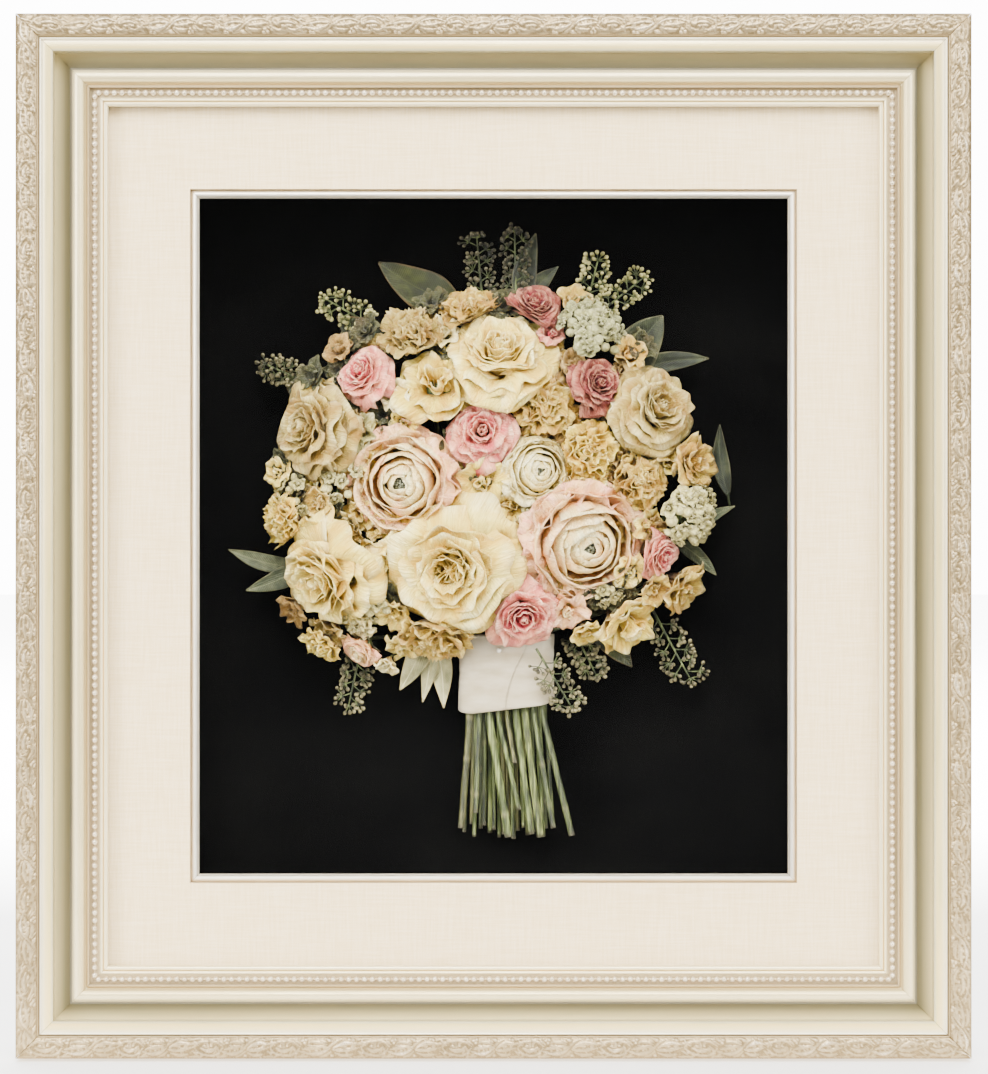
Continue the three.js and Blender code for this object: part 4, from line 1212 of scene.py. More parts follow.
# A darker copy of the cream rose petal: painted shade for the heads that sit back at the bouquet's edge, and
# for some cream carnations and loose petals.
shaded_cream_petal = petal_finish(
    "shaded_cream_rose_petal",
    colour(132, 98, 46),
    colour(176, 158, 102),
    colour(208, 196, 150),
    colour(58, 42, 16),
    colour(136, 104, 54),
)
cream_roses = (
    ("rose_cream_top", ROSE, None, 11, 0.4),
    ("rose_cream_centre", ROSE[2:], quartered_heart, 12, 0.9),
    ("rose_cream_left", ROSE[1:], None, 13, 0.1),
    ("rose_cream_upper_left", ROSE[1:], None, 14, 1.4),
    ("rose_cream_right", ROSE, None, 15, 0.7),
)
for name, whorls, heart, seed, spin in cream_roses:
    # The two roses at the edge take the darker copy as painted shade.
    petal = shaded_cream_petal if name in ("rose_cream_upper_left", "rose_cream_right") else cream_petal
    grow(name, whorls, [petal, dried_stem], (23, 13), seed, spin, heart)


# Small pink roses, tightly spiralled. Drying has turned their hearts deep rose and their outer
# petals pale, and the rims are creased.
pink_petal = petal_finish(
    "pink_rose_petal",
    colour(156, 44, 58),
    colour(232, 166, 144),
    colour(242, 202, 176),
    colour(76, 12, 24),
    colour(226, 168, 136),
    colour(178, 62, 76),
)
dusky_petal = petal_finish(
    "dusky_rose_petal",
    colour(88, 28, 30),
    colour(148, 86, 74),
    colour(186, 140, 116),
    colour(44, 10, 14),
    colour(116, 66, 44),
    colour(112, 34, 42),
)
for name, seed, spin, petal in (
    ("rose_pink_centre", 21, 0.2, pink_petal),
    ("rose_pink_left", 22, 1.0, pink_petal),
    ("rose_pink_top", 23, 0.5, dusky_petal),
    ("rose_pink_right", 24, 2.1, dusky_petal),
    ("rose_pink_low", 25, 1.6, pink_petal),
    ("rose_pink_side", 26, 0.8, pink_petal),
):
    grow(name, ROSE[:8], [petal, dried_stem], (17, 10), seed, spin)

blush_petal = petal_finish(
    "blush_petal",
    colour(226, 186, 120),
    colour(242, 204, 172),
    colour(238, 172, 152),
    colour(160, 104, 54),
    colour(234, 178, 146),
    colour(244, 230, 178),
    colour(250, 242, 202),
)
grow("rose_blush_small", ROSE[:6], [blush_petal, dried_stem], (15, 9), 27, 0.4)


# Ranunculus: dozens of thin round petals close over a small grey-green eye. The pale ones are
# edged with pink, and the outermost lie open like a saucer.
RANUNCULUS = []
CLOSED_RINGS = 6
for number in range(CLOSED_RINGS):
    share = number / (CLOSED_RINGS - 1)
    RANUNCULUS.append(
        whorl(
            3 if number < 2 else 4 + number // 4,
            (0.22 + 0.4 * share, -0.1 - 0.2 * share**2),
            0.46 + 0.04 * share**2,
            (72 - 8 * share, 160 - 56 * share**2),
            0.3 + 0.34 * share,
            curl=0.04 * share**3,
            crumple=0.016 + 0.024 * share,
            wrinkle=0.004 + 0.008 * share,
            crimp=0.008,
            stray=7,
        )
    )
RANUNCULUS += [
    whorl(6, (0.5, -0.3), 0.5, (64, 62), 0.44, curl=0.05, ruffle=0.06, waves=3, crumple=0.05, wrap=1.2,
          wrinkle=0.022, stray=14),
    whorl(6, (0.44, -0.28), 0.6, (48, 28), 0.5, curl=0.07, ruffle=0.07, waves=3, crumple=0.06, wrap=1.3,
          wrinkle=0.024, stray=16),
    whorl(6, (0.38, -0.34), 0.74, (32, 4), 0.5, curl=0.08, ruffle=0.08, waves=2.6, crumple=0.07, wrap=1.5,
          wrinkle=0.024, stray=16),
]
eye_finish, eye_shader = new_finish("ranunculus_eye", 0.8)
eye_speckle = noise(eye_finish, place_of(eye_finish), 700, 3)
join(
    eye_finish,
    ramp(eye_finish, eye_speckle, [(0.35, colour(70, 70, 54)), (0.65, colour(138, 138, 116))]),
    eye_shader.inputs["Base Color"],
)
raise_grain(eye_finish, eye_shader, eye_speckle, 0.0006, 0.8)


EYE_CASES = 26
EYE_REACH = 0.12
GOLDEN_TURN = 2.4


def ranunculus_eye(bloom, rng, head, radius):
    """A low cone of tiny seed cases in the middle of the flower."""
    middle, axes = head
    for number in range(EYE_CASES):
        share = math.sqrt((number + 0.5) / EYE_CASES)
        angle = number * GOLDEN_TURN
        reach = EYE_REACH * share
        local = np.array([reach * math.cos(angle), reach * math.sin(angle), 0.25 - 0.08 * share**2])
        tip = middle + axes @ (local * radius)
        low = tip - axes[:, 2] * radius * 0.12
        path = np.array([low, (low + tip) / 2, tip - axes[:, 2] * 0.2, tip])
        radii = radius * np.array([0.022, 0.022, 0.019, 0.008])
        add_tube(bloom, path, radii, 2, (0.5, 0.0, 0.5, 0.0), 6)


white_petal = petal_finish(
    "white_petal",
    colour(214, 190, 116),
    colour(244, 234, 186),
    colour(252, 244, 208),
    colour(132, 104, 46),
    colour(226, 206, 144),
)
for name, petal, seed, spin, slot in (
    ("ranunculus_blush_left", blush_petal, 31, 0.3, "petal_blush"),
    ("ranunculus_blush_right", blush_petal, 32, 1.1, "petal_blush"),
    ("ranunculus_white", white_petal, 33, 0.7, "petal_white"),
):
    finishes = [petal, dried_stem, eye_finish]
    grow(name, RANUNCULUS, finishes, (15, 8), seed, spin, ranunculus_eye)


# Carnations: many narrow petals with toothed, ruffled ends, crumpled by drying and gone the
# colour of old gold at the rims.
TOOTHED = {"ruffle": 0.09, "waves": 2.4, "notch": 0.1, "teeth": 6, "crumple": 0.085, "wrinkle": 0.014}
CARNATION = [
    whorl(4, (0.03, -0.2), 0.56, (88, 80), 0.3, wrap=1.0, stray=20, **TOOTHED),
    whorl(5, (0.07, -0.26), 0.66, (82, 62), 0.36, wrap=1.1, stray=20, **TOOTHED),
    whorl(6, (0.1, -0.32), 0.76, (74, 44), 0.4, wrap=1.4, stray=20, **TOOTHED),
    whorl(7, (0.12, -0.38), 0.88, (66, 24), 0.44, wrap=1.7, stray=20, **TOOTHED),
    whorl(7, (0.14, -0.44), 0.98, (56, 2), 0.46, wrap=2.0, stray=20, **TOOTHED),
]
gold_petal = petal_finish(
    "gold_carnation_petal",
    colour(146, 104, 38),
    colour(202, 178, 108),
    colour(232, 216, 164),
    colour(68, 42, 12),
    colour(148, 106, 46),
)
yellow_petal = petal_finish(
    "yellow_petal",
    colour(178, 134, 44),
    colour(230, 210, 126),
    colour(248, 238, 186),
    colour(88, 60, 14),
    colour(188, 148, 66),
)
for name, petal, seed, spin, slot in (
    ("carnation_gold_centre", gold_petal, 41, 0.3, "petal_gold"),
    ("carnation_gold_right", gold_petal, 42, 0.9, "petal_gold"),
    ("carnation_gold_top", gold_petal, 43, 1.3, "petal_gold"),
    ("carnation_gold_low", gold_petal, 44, 0.2, "petal_gold"),
    ("carnation_yellow_right", yellow_petal, 45, 1.8, "petal_yellow"),
    ("carnation_yellow_left", yellow_petal, 46, 0.6, "petal_yellow"),
    # The cream carnation at the top takes the darker copy of the cream petal as painted shade.
    ("carnation_cream_top", shaded_cream_petal, 47, 1.5, "petal_cream"),
):
    grow(name, CARNATION, [petal, dried_stem], (19, 10), seed, spin)


# Freesia, lisianthus and a spent beige rose: a few broad petals rise from a narrow throat and
# fall open. Dried, they are thin, wrinkled and folded on themselves.
FOLDED = {"ruffle": 0.06, "crumple": 0.06}
TRUMPET = [
    whorl(4, (0.06, -0.45), 0.85, (84, 70), 0.28, waves=2, stray=18, **FOLDED),
    whorl(5, (0.08, -0.5), 1.05, (78, 30), 0.42, waves=2, wrap=1.5, curl=0.05, stray=16, **FOLDED),
    whorl(5, (0.1, -0.55), 1.2, (72, 0), 0.48, waves=2.2, wrap=1.8, curl=0.06, stray=14, **FOLDED),
]
for name, petal, seed, spin, slot in (
    ("freesia_yellow_top", yellow_petal, 51, 0.2, "petal_yellow"),
    ("freesia_low_right", yellow_petal, 52, 1.2, "petal_yellow"),
    ("rose_beige_right", gold_petal, 53, 0.7, "petal_gold"),
    ("lisianthus_beige_right", gold_petal, 54, 2.0, "petal_gold"),
):
    grow(name, TRUMPET, [petal, dried_stem], (19, 11), seed, spin)


# Stock: one stem carries a head of small white florets, some open and some still in bud.
FLORET = [
    whorl(3, (0.05, -0.2), 0.6, (88, 96), 0.3, crumple=0.09),
    whorl(5, (0.08, -0.25), 1.0, (66, -4), 0.42, wrap=1.1, ruffle=0.1, crumple=0.12, curl=0.06, stray=16),
]


STALK_TONE = (0, 0, 0.3, 0.6)


def add_bud(cutting, tip, facing, size, tone, foot):
    """A closed bud on its own short stalk."""
    facing = unit(facing)
    share = np.array([0, 0.12, 0.35, 0.65, 0.88, 1.0])
    path = tip + facing * size * (share[:, None] - 0.5) * 2.1
    radii = size * np.array([0.2, 0.62, 0.95, 0.85, 0.45, 0.08])
    add_tube(cutting, path, radii, 0, tone, 8)
    stalk = rounded_path([foot, (foot + path[0]) / 2 - facing * size, path[0]], 4, 2)
    add_tube(cutting, stalk, 0.5, 1, STALK_TONE, 5)


def floret_cluster(count, spread=0.82, size=0.3):
    """Florets set over a rounded head, each facing outwards on its own stalk."""

    def fill(bloom, rng, head, radius):
        middle, axes = head
        for number in range(count):
            share = math.sqrt((number + 0.4) / count)
            angle = number * GOLDEN_TURN + rng.uniform(-0.2, 0.2)
            reach = spread * share
            local = np.array([reach * math.cos(angle), reach * math.sin(angle), 0.42 - 0.42 * share**2])
            out = unit(local + np.array([0, 0, 0.35]) + rng.uniform(-0.15, 0.15, 3))
            place = middle + axes @ (local * radius)
            facing = unit(axes @ out)
            small = radius * size * rng.uniform(0.8, 1.15)
            foot = middle - axes[:, 2] * radius * 0.3
            if number % 2:
                add_bud(bloom, place, facing, small * 0.47, (0.7, 0.4, 0.6, 0.5), foot)
                continue
            add_whorls(bloom, rng, (place, turned_to(facing, angle)), small, FLORET, (7, 6), 0, angle)
            stalk = rounded_path([foot, (foot + place) / 2, place - facing * small * 0.2], 4, 2)
            add_tube(bloom, stalk, 0.6, 1, STALK_TONE, 5)

    return fill


floret_petal = petal_finish(
    "floret_petal",
    colour(112, 102, 50),
    colour(206, 198, 146),
    colour(242, 234, 196),
    colour(50, 44, 16),
    colour(150, 138, 84),
)
greyed_floret = petal_finish(
    "greyed_floret_petal",
    colour(84, 80, 42),
    colour(166, 166, 124),
    colour(214, 210, 172),
    colour(38, 36, 14),
    colour(116, 108, 66),
)
for name, petal, seed in (("stock_upper_right", greyed_floret, 61), ("stock_right", floret_petal, 62)):
    grow(name, [], [petal, dried_stem], None, seed, 0, floret_cluster(34))


# Leaves and seeded eucalyptus stand out round the bouquet's edge. The leaves dried folded along
# the midrib with wavy rims, and each sprig carries small pods on fanned stalks.
LEAF_LAYER = -30.7


def leaf_finish(name, dark, body, pale, rim):
    """A dried leaf: cloudy, with slanting ribs, a pale midrib and a rim that has turned."""
    finish, shader = new_finish(name, 0.66)
    tone = lay(finish, "Attribute", {}, attribute_name="tone")
    parts = lay(finish, "SeparateColor", {"Color": tone.outputs["Color"]}).outputs
    across = lay(finish, "Attribute", {}, attribute_name="across").outputs["Fac"]
    sides = worked(finish, "ABSOLUTE", across)
    slanted = worked(finish, "MULTIPLY_ADD", sides, -0.35, parts["Red"])
    grid = lay(finish, "CombineXYZ", {"X": slanted, "Y": across}).outputs["Vector"]
    ribs = lay(
        finish,
        "TexWave",
        {"Vector": grid, "Scale": 3.4, "Distortion": 1.2, "Detail": 2},
        bands_direction="X",
    ).outputs["Fac"]
    cloud = noise(finish, place_of(finish), 60, 5, 0.6)
    shade = ramp(finish, cloud, [(0.32, dark), (0.5, body), (0.68, pale)])
    ribbed = ramp(finish, ribs, [(0.3, (0.7, 0.7, 0.62, 1)), (0.6, (1.1, 1.1, 1.0, 1))])
    shade = blend_colour(finish, 0.3, shade, ribbed, "MULTIPLY")
    midrib = ramp(finish, sides, [(0.0, (0.8, 0.8, 0.8, 1)), (0.09, (0, 0, 0, 1))])
    shade = blend_colour(finish, midrib, shade, pale)
    edge = worked(finish, "MULTIPLY", parts["Green"], cloud)
    shade = blend_colour(finish, patches(finish, edge, 0.25, 0.6, 0.5), shade, rim)
    join(finish, shade, shader.inputs["Base Color"])
    relief = worked(finish, "MULTIPLY_ADD", ribs, 0.5, cloud)
    raise_grain(finish, shader, relief, 0.0006, 0.6)
    return finish


olive_leaf = leaf_finish(
    "olive_leaf", colour(25, 28, 13), colour(39, 42, 21), colour(62, 64, 36), colour(96, 66, 36)
)
grey_leaf = leaf_finish(
    "grey_leaf", colour(20, 23, 16), colour(36, 40, 28), colour(68, 71, 52), colour(104, 98, 72)
)
silver_leaf = leaf_finish(
    "silver_leaf", colour(42, 46, 33), colour(72, 76, 57), colour(118, 120, 94), colour(120, 112, 80)
)
bract_leaf = leaf_finish(
    "pale_bract", colour(98, 96, 70), colour(142, 138, 106), colour(190, 184, 150), colour(176, 150, 104)
)


def pod_finish(name, dark, body, pale):
    """A freckled seed pod, dark at its stalk and paler towards its tip."""
    finish, shader = new_finish(name, 0.58)
    speckle = noise(finish, place_of(finish), 420, 4, 0.6)
    cloud = noise(finish, place_of(finish), 70, 3)
    tone = lay(finish, "Attribute", {}, attribute_name="tone")
    grown = lay(finish, "SeparateColor", {"Color": tone.outputs["Color"]}).outputs["Red"]
    grown = worked(finish, "MULTIPLY_ADD", grown, 0.45, cloud)
    shade = ramp(finish, grown, [(0.42, dark), (0.7, body), (0.9, pale)])
    freckles = ramp(finish, speckle, [(0.36, (0.6, 0.56, 0.48, 1)), (0.56, (1.08, 1.06, 1.0, 1))])
    shade = blend_colour(finish, 0.7, shade, freckles, "MULTIPLY")
    join(finish, shade, shader.inputs["Base Color"])
    raise_grain(finish, shader, speckle, 0.0004, 0.6)
    return finish


green_pod = pod_finish("green_pod", colour(66, 66, 40), colour(116, 114, 78), colour(176, 170, 128))
brown_pod = pod_finish("brown_pod", colour(40, 38, 26), colour(70, 66, 48), colour(118, 112, 86))
dark_pod = pod_finish("dark_pod", colour(26, 25, 18), colour(48, 46, 34), colour(84, 80, 62))


LEAF = {"fold": 0.28, "bow": 0.05, "half": 0.25, "full": 1.04}
TWIG_TONE = (0, 0, 0.2, 0.6)


def add_leaf(cutting, rng, start, end, width, lift, depth):
    """A leaf from its foot to its tip, folded on the midrib, with a short stalk."""
    start, end = np.array(start, float), np.array(end, float)
    along = end - start
    across = unit(np.array([-along[1], along[0]]))
    size = np.linalg.norm(along)
    s, t = np.meshgrid(np.linspace(-1, 1, 11), np.linspace(0.02, 1, 19), indexing="ij")
    bowed = LEAF["bow"] * size * np.sin(math.pi * t)
    half = width / 2 * np.maximum(np.sin(math.pi * t**0.8) ** 0.85, 0.05)
    half = half * (1 + 0.05 * np.sin(9 * t + rng.uniform(0, 6)))
    centre_x = start[0] + along[0] * t + across[0] * bowed
    centre_z = start[1] + along[1] * t + across[1] * bowed
    flat = np.cos(LEAF["fold"] * np.abs(s))
    x = centre_x + across[0] * s * half * flat
    z = centre_z + across[1] * s * half * flat
    swell = np.sin(math.pi * t)
    ripple = np.abs(s) ** 1.5 * np.sin(math.pi * 3.2 * t + 2 * (s > 0) + rng.uniform(0, 6)) * swell
    y = depth - lift * t**2 - np.abs(s) * half * math.sin(LEAF["fold"]) + ripple
    y += 0.5 * crease(rng, s, t, 4, 3, 8) * swell
    points = np.stack([x, y, z], axis=-1)
    edge = np.clip(np.maximum(np.abs(s) ** 6, t**9), 0, 1)
    tones = np.stack([t * size / 20, edge, np.full(s.shape, rng.uniform()), t], axis=-1)
    add_sheet(cutting, points, 0, tones, s * half / 6, LEAF["half"])
    stalk = np.array([[start[0] - along[0] * 0.12, depth + 0.3, start[1] - along[1] * 0.12],
                      [start[0], depth, start[1]], [centre_x[5, 4], y[5, 4] + 0.3, centre_z[5, 4]]])
    stalk = rounded_path(stalk, 2, 2)
    add_tube(cutting, stalk, np.linspace(0.8, 0.45, len(stalk)), 1, STALK_TONE, 6)


def add_pod(cutting, foot, tip, size):
    """A seed pod like a drop, on a thin stalk."""
    facing = unit(tip - foot)
    share = np.array([0, 0.2, 0.5, 0.78, 0.94, 1.0])
    path = tip + facing * size * 2.3 * (share[:, None] - 0.6)
    radii = size * np.array([0.25, 0.62, 0.98, 0.86, 0.46, 0.12])
    tone = np.stack([share, 0 * share, 0 * share, 0 * share], axis=-1)
    add_tube(cutting, path, radii, 2, tone, 7)
    stalk = np.array([foot, (foot + path[0]) / 2 + 0.12 * size, path[0] + facing * size * 0.3])
    add_tube(cutting, stalk, 0.34, 1, TWIG_TONE, 4)


SPRIG = {"fans": 10, "pods": 6, "size": 1.45}


def add_sprig(cutting, rng, start, end, spread, lift, depth):
    """A thin stem with fans of pods to its left and right and one at its tip."""
    first = np.array([start[0], depth, start[1]], float)
    last = np.array([end[0], depth - lift, end[1]], float)
    middle = (first + last) / 2 + np.array([0, lift * 0.2, 0])
    path = rounded_path([first, middle, last], 2.5, 4)
    radii = np.linspace(0.95, 0.5, len(path))
    add_tube(cutting, path, radii, 1, (0, 0, 0.25, 0.5), 7)
    across = unit(np.array([first[2] - last[2], 0, last[0] - first[0]]))
    along = unit(last - first)
    for number in range(SPRIG["fans"] + 1):
        share = 0.22 + 0.78 * number / SPRIG["fans"]
        at = path[min(len(path) - 1, int(share * (len(path) - 1)))]
        side = 0 if number == SPRIG["fans"] else (1 if number % 2 else -1)
        reach = spread * rng.uniform(0.5, 0.75) if side else 0.5
        sway = np.array([0, -rng.uniform(0.2, 1.0), 0])
        hub = at + across * side * reach * 0.85 + along * reach * 0.5 + sway
        branch = rounded_path([at, (at + hub) / 2 + along * 0.6, hub], 1.5, 2)
        add_tube(cutting, branch, 0.42, 1, TWIG_TONE, 5)
        for pod in range(SPRIG["pods"]):
            fan = (pod - (SPRIG["pods"] - 1) / 2) * 0.56 + rng.uniform(-0.15, 0.15)
            base = math.atan2(side * 0.8, 0.75) if side else 0.0
            turn = base + fan
            way = along * math.cos(turn) + across * math.sin(turn) + np.array([0, rng.uniform(-0.5, 0.25), 0])
            tip = hub + unit(way) * rng.uniform(2.2, 7.0)
            add_pod(cutting, hub, tip, SPRIG["size"] * rng.uniform(0.8, 1.1))


# Where each leaf and sprig starts and ends, its width or spread, its lift and its depth
GREENERY = {
    "leaf_top_left": {"leaves": [((-22, 154), (-76, 181), 27, 8, LEAF_LAYER)], "leaf": olive_leaf},
    "eucalyptus_top_left": {
        "leaves": [((-58, 118), (-104, 146), 27, 0, LEAF_LAYER)],
        "sprigs": [((-74, 136), (-111, 157), 9, 6, LEAF_LAYER)],
        "leaf": olive_leaf,
        "pod": green_pod,
    },
    "eucalyptus_left": {
        "leaves": [((-112, 84), (-139, 110), 17, 0, LEAF_LAYER)],
        "sprigs": [((-118, 99), (-151, 114), 8, 4, LEAF_LAYER)],
        "leaf": olive_leaf,
        "pod": brown_pod,
    },
    "eucalyptus_top_centre": {
        "sprigs": [((-6, 140), (-11, 197), 9, 6, LEAF_LAYER)],
        "leaf": olive_leaf,
        "pod": dark_pod,
    },
    "eucalyptus_top_right": {
        "leaves": [((19, 152), (28, 201), 16, 0, LEAF_LAYER), ((22, 156), (43, 179), 11, 0, LEAF_LAYER)],
        "sprigs": [((15, 150), (14, 201), 8, 5, LEAF_LAYER)],
        "leaf": grey_leaf,
        "pod": dark_pod,
    },
    "eucalyptus_far_right": {
        "sprigs": [((58, 138), (69, 182), 10, 5, LEAF_LAYER), ((60, 140), (99, 171), 9, 5, LEAF_LAYER)],
        "leaf": olive_leaf,
        "pod": green_pod,
    },
    "leaves_upper_right": {
        "leaves": [((86, 106), (112, 146), 30, 6, LEAF_LAYER), ((88, 108), (143, 118), 14, 0, LEAF_LAYER)],
        "leaf": grey_leaf,
    },
    "leaf_right_edge": {"leaves": [((156, 26), (150, 74), 11, 4, LEAF_LAYER)], "leaf": grey_leaf},
    "leaves_left": {
        "leaves": [
            ((-122, -17), (-164, -36), 14, 5, LEAF_LAYER),
            ((-126, -21), (-176, -9), 12, 0, LEAF_LAYER),
        ],
        "leaf": silver_leaf,
    },
    "eucalyptus_low_left": {
        "sprigs": [((-86, -64), (-96, -112), 9, 2, -30.1)],
        "leaf": olive_leaf,
        "pod": brown_pod,
    },
    "leaves_drooping": {
        "leaves": [
            ((-43, -57), (-62, -102), 17, 4, -30.2),
            ((-43, -57), (-47, -110), 12, 5, -30.2),
            ((-43, -57), (-33, -114), 15, 5, -30.2),
        ],
        "leaf": bract_leaf,
    },
    "eucalyptus_on_ribbon": {
        "sprigs": [((28, -74), (51, -112), 11, 2, -49.5)],
        "leaf": olive_leaf,
        "pod": brown_pod,
    },
    "eucalyptus_low_centre": {
        "leaves": [((64, -60), (92, -87), 16, 0, -30.2)],
        "sprigs": [((52, -60), (68, -92), 9, 1, -30.3)],
        "leaf": olive_leaf,
        "pod": brown_pod,
    },
    "eucalyptus_low_right": {
        "sprigs": [((104, -46), (130, -94), 12, 6, LEAF_LAYER)],
        "leaf": olive_leaf,
        "pod": brown_pod,
    },
    "leaves_low_right": {
        "leaves": [((118, -5), (160, 20), 11, 3, LEAF_LAYER), ((121, -3.2), (148, -26), 10, 0, LEAF_LAYER)],
        "leaf": silver_leaf,
    },
}
GREENERY_SEED = 100
for number, (name, parts) in enumerate(GREENERY.items()):
    rng = np.random.default_rng(GREENERY_SEED + number)
    green = Cutting()
    for start, end, width, lift, depth in parts.get("leaves", []):
        add_leaf(green, rng, start, end, width * LEAF["full"], lift, depth)
    for start, end, spread, lift, depth in parts.get("sprigs", []):
        add_sprig(green, rng, start, end, spread, lift, depth)
    piece = green.make(name + "_dried", [parts["leaf"], dried_stem, parts.get("pod", green_pod)])
    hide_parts(name)


# An ivory satin ribbon is wound once round the stems, drawn tight and lapped over itself. Its
# free end is folded under and held at the front by a pin with a pearl head.
BINDING = {"half_width": 32, "half_depth": 16, "corner": 12, "rear_top": -26, "rear_foot": -28.5}
HEM = {"across": 0.117, "forward": 0.335}
RIBBON_HALF = 0.3
LAP_THICKNESS = 0.85


def ribbon_outline(share):
    """A point on the binding's outline, and the way out of it, from 0 to 1 round it."""
    corner = BINDING["corner"]
    wide = 2 * (BINDING["half_width"] - corner)
    deep = 2 * (BINDING["half_depth"] - corner)
    quarter = corner * math.pi / 2
    runs = [wide / 2, quarter, deep, quarter, wide, quarter, deep, quarter, wide / 2]
    far = (share % 1.0) * sum(runs)
    x0, y0 = BINDING["half_width"] - corner, BINDING["half_depth"] - corner
    centres = [None, (x0, -y0, -90), None, (x0, y0, 0), None, (-x0, y0, 90), None, (-x0, -y0, 180), None]
    starts = [(0, -y0 - corner), None, (x0 + corner, -y0), None, (x0, y0 + corner), None,
              (-x0 - corner, y0), None, (-x0, -y0 - corner)]
    ways = [(1, 0), None, (0, 1), None, (-1, 0), None, (0, -1), None, (1, 0)]
    for run, centre, start, way in zip(runs, centres, starts, ways):
        if far <= run:
            if centre is None:
                return (start[0] + way[0] * far, start[1] + way[1] * far), (way[1], -way[0])
            angle = math.radians(centre[2]) + far / corner
            out = (math.cos(angle), math.sin(angle))
            return (centre[0] + corner * out[0], centre[1] + corner * out[1]), out
        far -= run
    return (0, -y0 - corner), (0, -1)


def satin():
    """Ivory satin: fine threads across the ribbon, a soft sheen and a faint cloudy shade."""
    finish, shader = new_finish("ivory_satin", 0.34)
    threads = lay(
        finish,
        "TexWave",
        {"Vector": place_of(finish), "Scale": 900, "Distortion": 0.6, "Detail": 1},
        bands_direction="Z",
    ).outputs["Fac"]
    cloud = noise(finish, place_of(finish, (1, 1, 3)), 40, 4)
    shade = ramp(finish, cloud, [(0.35, colour(176, 164, 138)), (0.65, colour(206, 196, 174))])
    fine = ramp(finish, threads, [(0.2, (0.93, 0.92, 0.9, 1)), (0.7, (1, 1, 1, 1))])
    shade = blend_colour(finish, 0.5, shade, fine, "MULTIPLY")
    join(finish, shade, shader.inputs["Base Color"])
    shader.inputs["Sheen Weight"].default_value = 0.25
    shader.inputs["Sheen Roughness"].default_value = 0.35
    relief = worked(finish, "MULTIPLY_ADD", cloud, 4.0, threads)
    raise_grain(finish, shader, relief, 0.0004, 0.5)
    return finish


ivory_satin = satin()
ribbon = Cutting()
LAP_START, LAP_FOOT, LAP_SLANT = -0.03, 0.995, 0.11
AROUND, UP = 150, 24
ribbon_points = np.zeros((AROUND, UP, 3))
for i in range(AROUND):
    for j in range(UP):
        share = j / (UP - 1)
        end = LAP_FOOT + LAP_SLANT * share**1.6
        turn = LAP_START + (end - LAP_START) * i / (AROUND - 1)
        (across, forward), out = ribbon_outline(turn)
        lapped = np.clip((turn - 0.93) / 0.04, 0, 1) * LAP_THICKNESS
        rear = BINDING["rear_foot"] + (BINDING["rear_top"] - BINDING["rear_foot"]) * share
        hem = BINDING_FOOT + across * HEM["across"] + (rear + forward - BINDING["rear_foot"]) * HEM["forward"]
        top = BINDING_TOP + 0.6 + 0.3 * math.sin(9 * turn)
        waist = -0.7 * math.sin(math.pi * share)
        drawn = 0.22 * math.sin(2 * math.pi * (3.1 * share + 1.6 * math.sin(2 * math.pi * turn) * share))
        drawn += 0.16 * math.sin(2 * math.pi * (5.3 * share - 0.8 * turn))
        push = waist + drawn * math.sin(math.pi * share) + lapped - 0.35
        ribbon_points[i, j] = (
            BINDING_MIDDLE + across + out[0] * push,
            rear + forward + out[1] * push,
            hem + (top - hem) * share,
        )
flat_tone = np.zeros((AROUND, UP, 4))
flat_tone[..., 0] = np.linspace(0, 1, UP)
add_sheet(ribbon, ribbon_points, 0, flat_tone, np.zeros((AROUND, UP)), RIBBON_HALF)
ribbon_piece = ribbon.make("ribbon_satin", [ivory_satin])
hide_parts("ribbon_wrap")

# The pin: a pearl head, a small collar and a steel shank pushed in through the ribbon
PIN = {"x": 3.6, "y": -44.3, "z": -75.5, "radius": 1.7}
pearl, pearl_shader = new_finish("pin_pearl", 0.22)
pearl_cloud = noise(pearl, place_of(pearl), 500, 3)
join(
    pearl,
    ramp(pearl, pearl_cloud, [(0.4, colour(226, 218, 200)), (0.65, colour(244, 238, 224))]),
    pearl_shader.inputs["Base Color"],
)
pearl_shader.inputs["Coat Weight"].default_value = 0.4
raise_grain(pearl, pearl_shader, pearl_cloud, 0.0001, 0.3)
steel, steel_shader = new_finish("pin_steel", 0.3, 1.0)
steel_scratch = noise(steel, place_of(steel, (1, 0.1, 1)), 3000, 2)
join(
    steel,
    ramp(steel, steel_scratch, [(0.4, colour(150, 148, 144)), (0.6, colour(190, 188, 184))]),
    steel_shader.inputs["Base Color"],
)
pin = Cutting()
turns = np.linspace(0.15, math.pi * 0.88, 14)
ball = np.array([[PIN["x"], PIN["y"] - PIN["radius"] * math.cos(turn), PIN["z"]] for turn in turns])
add_tube(pin, ball, PIN["radius"] * np.sin(turns), 0, (0, 0, 0, 0), 20)
shank = np.array([[PIN["x"], PIN["y"] + reach, PIN["z"]] for reach in (1.3, 1.9, 2.0, 2.6, 5.2)])
add_tube(pin, shank, (0.7, 0.7, 0.32, 0.32, 0.2), 1, (0, 0, 0, 0), 12)
pin_piece = pin.make("pearl_pin", [pearl, steel])


# The gaps between the big heads are filled with florets, buds and loose folded petals, each on
# a thin stalk of its own that runs back among the stems.
FILLER_STALK = {"radius": 0.7, "depth": -32.0, "longest": 40.0}
FILLER_FRONT = -36.0


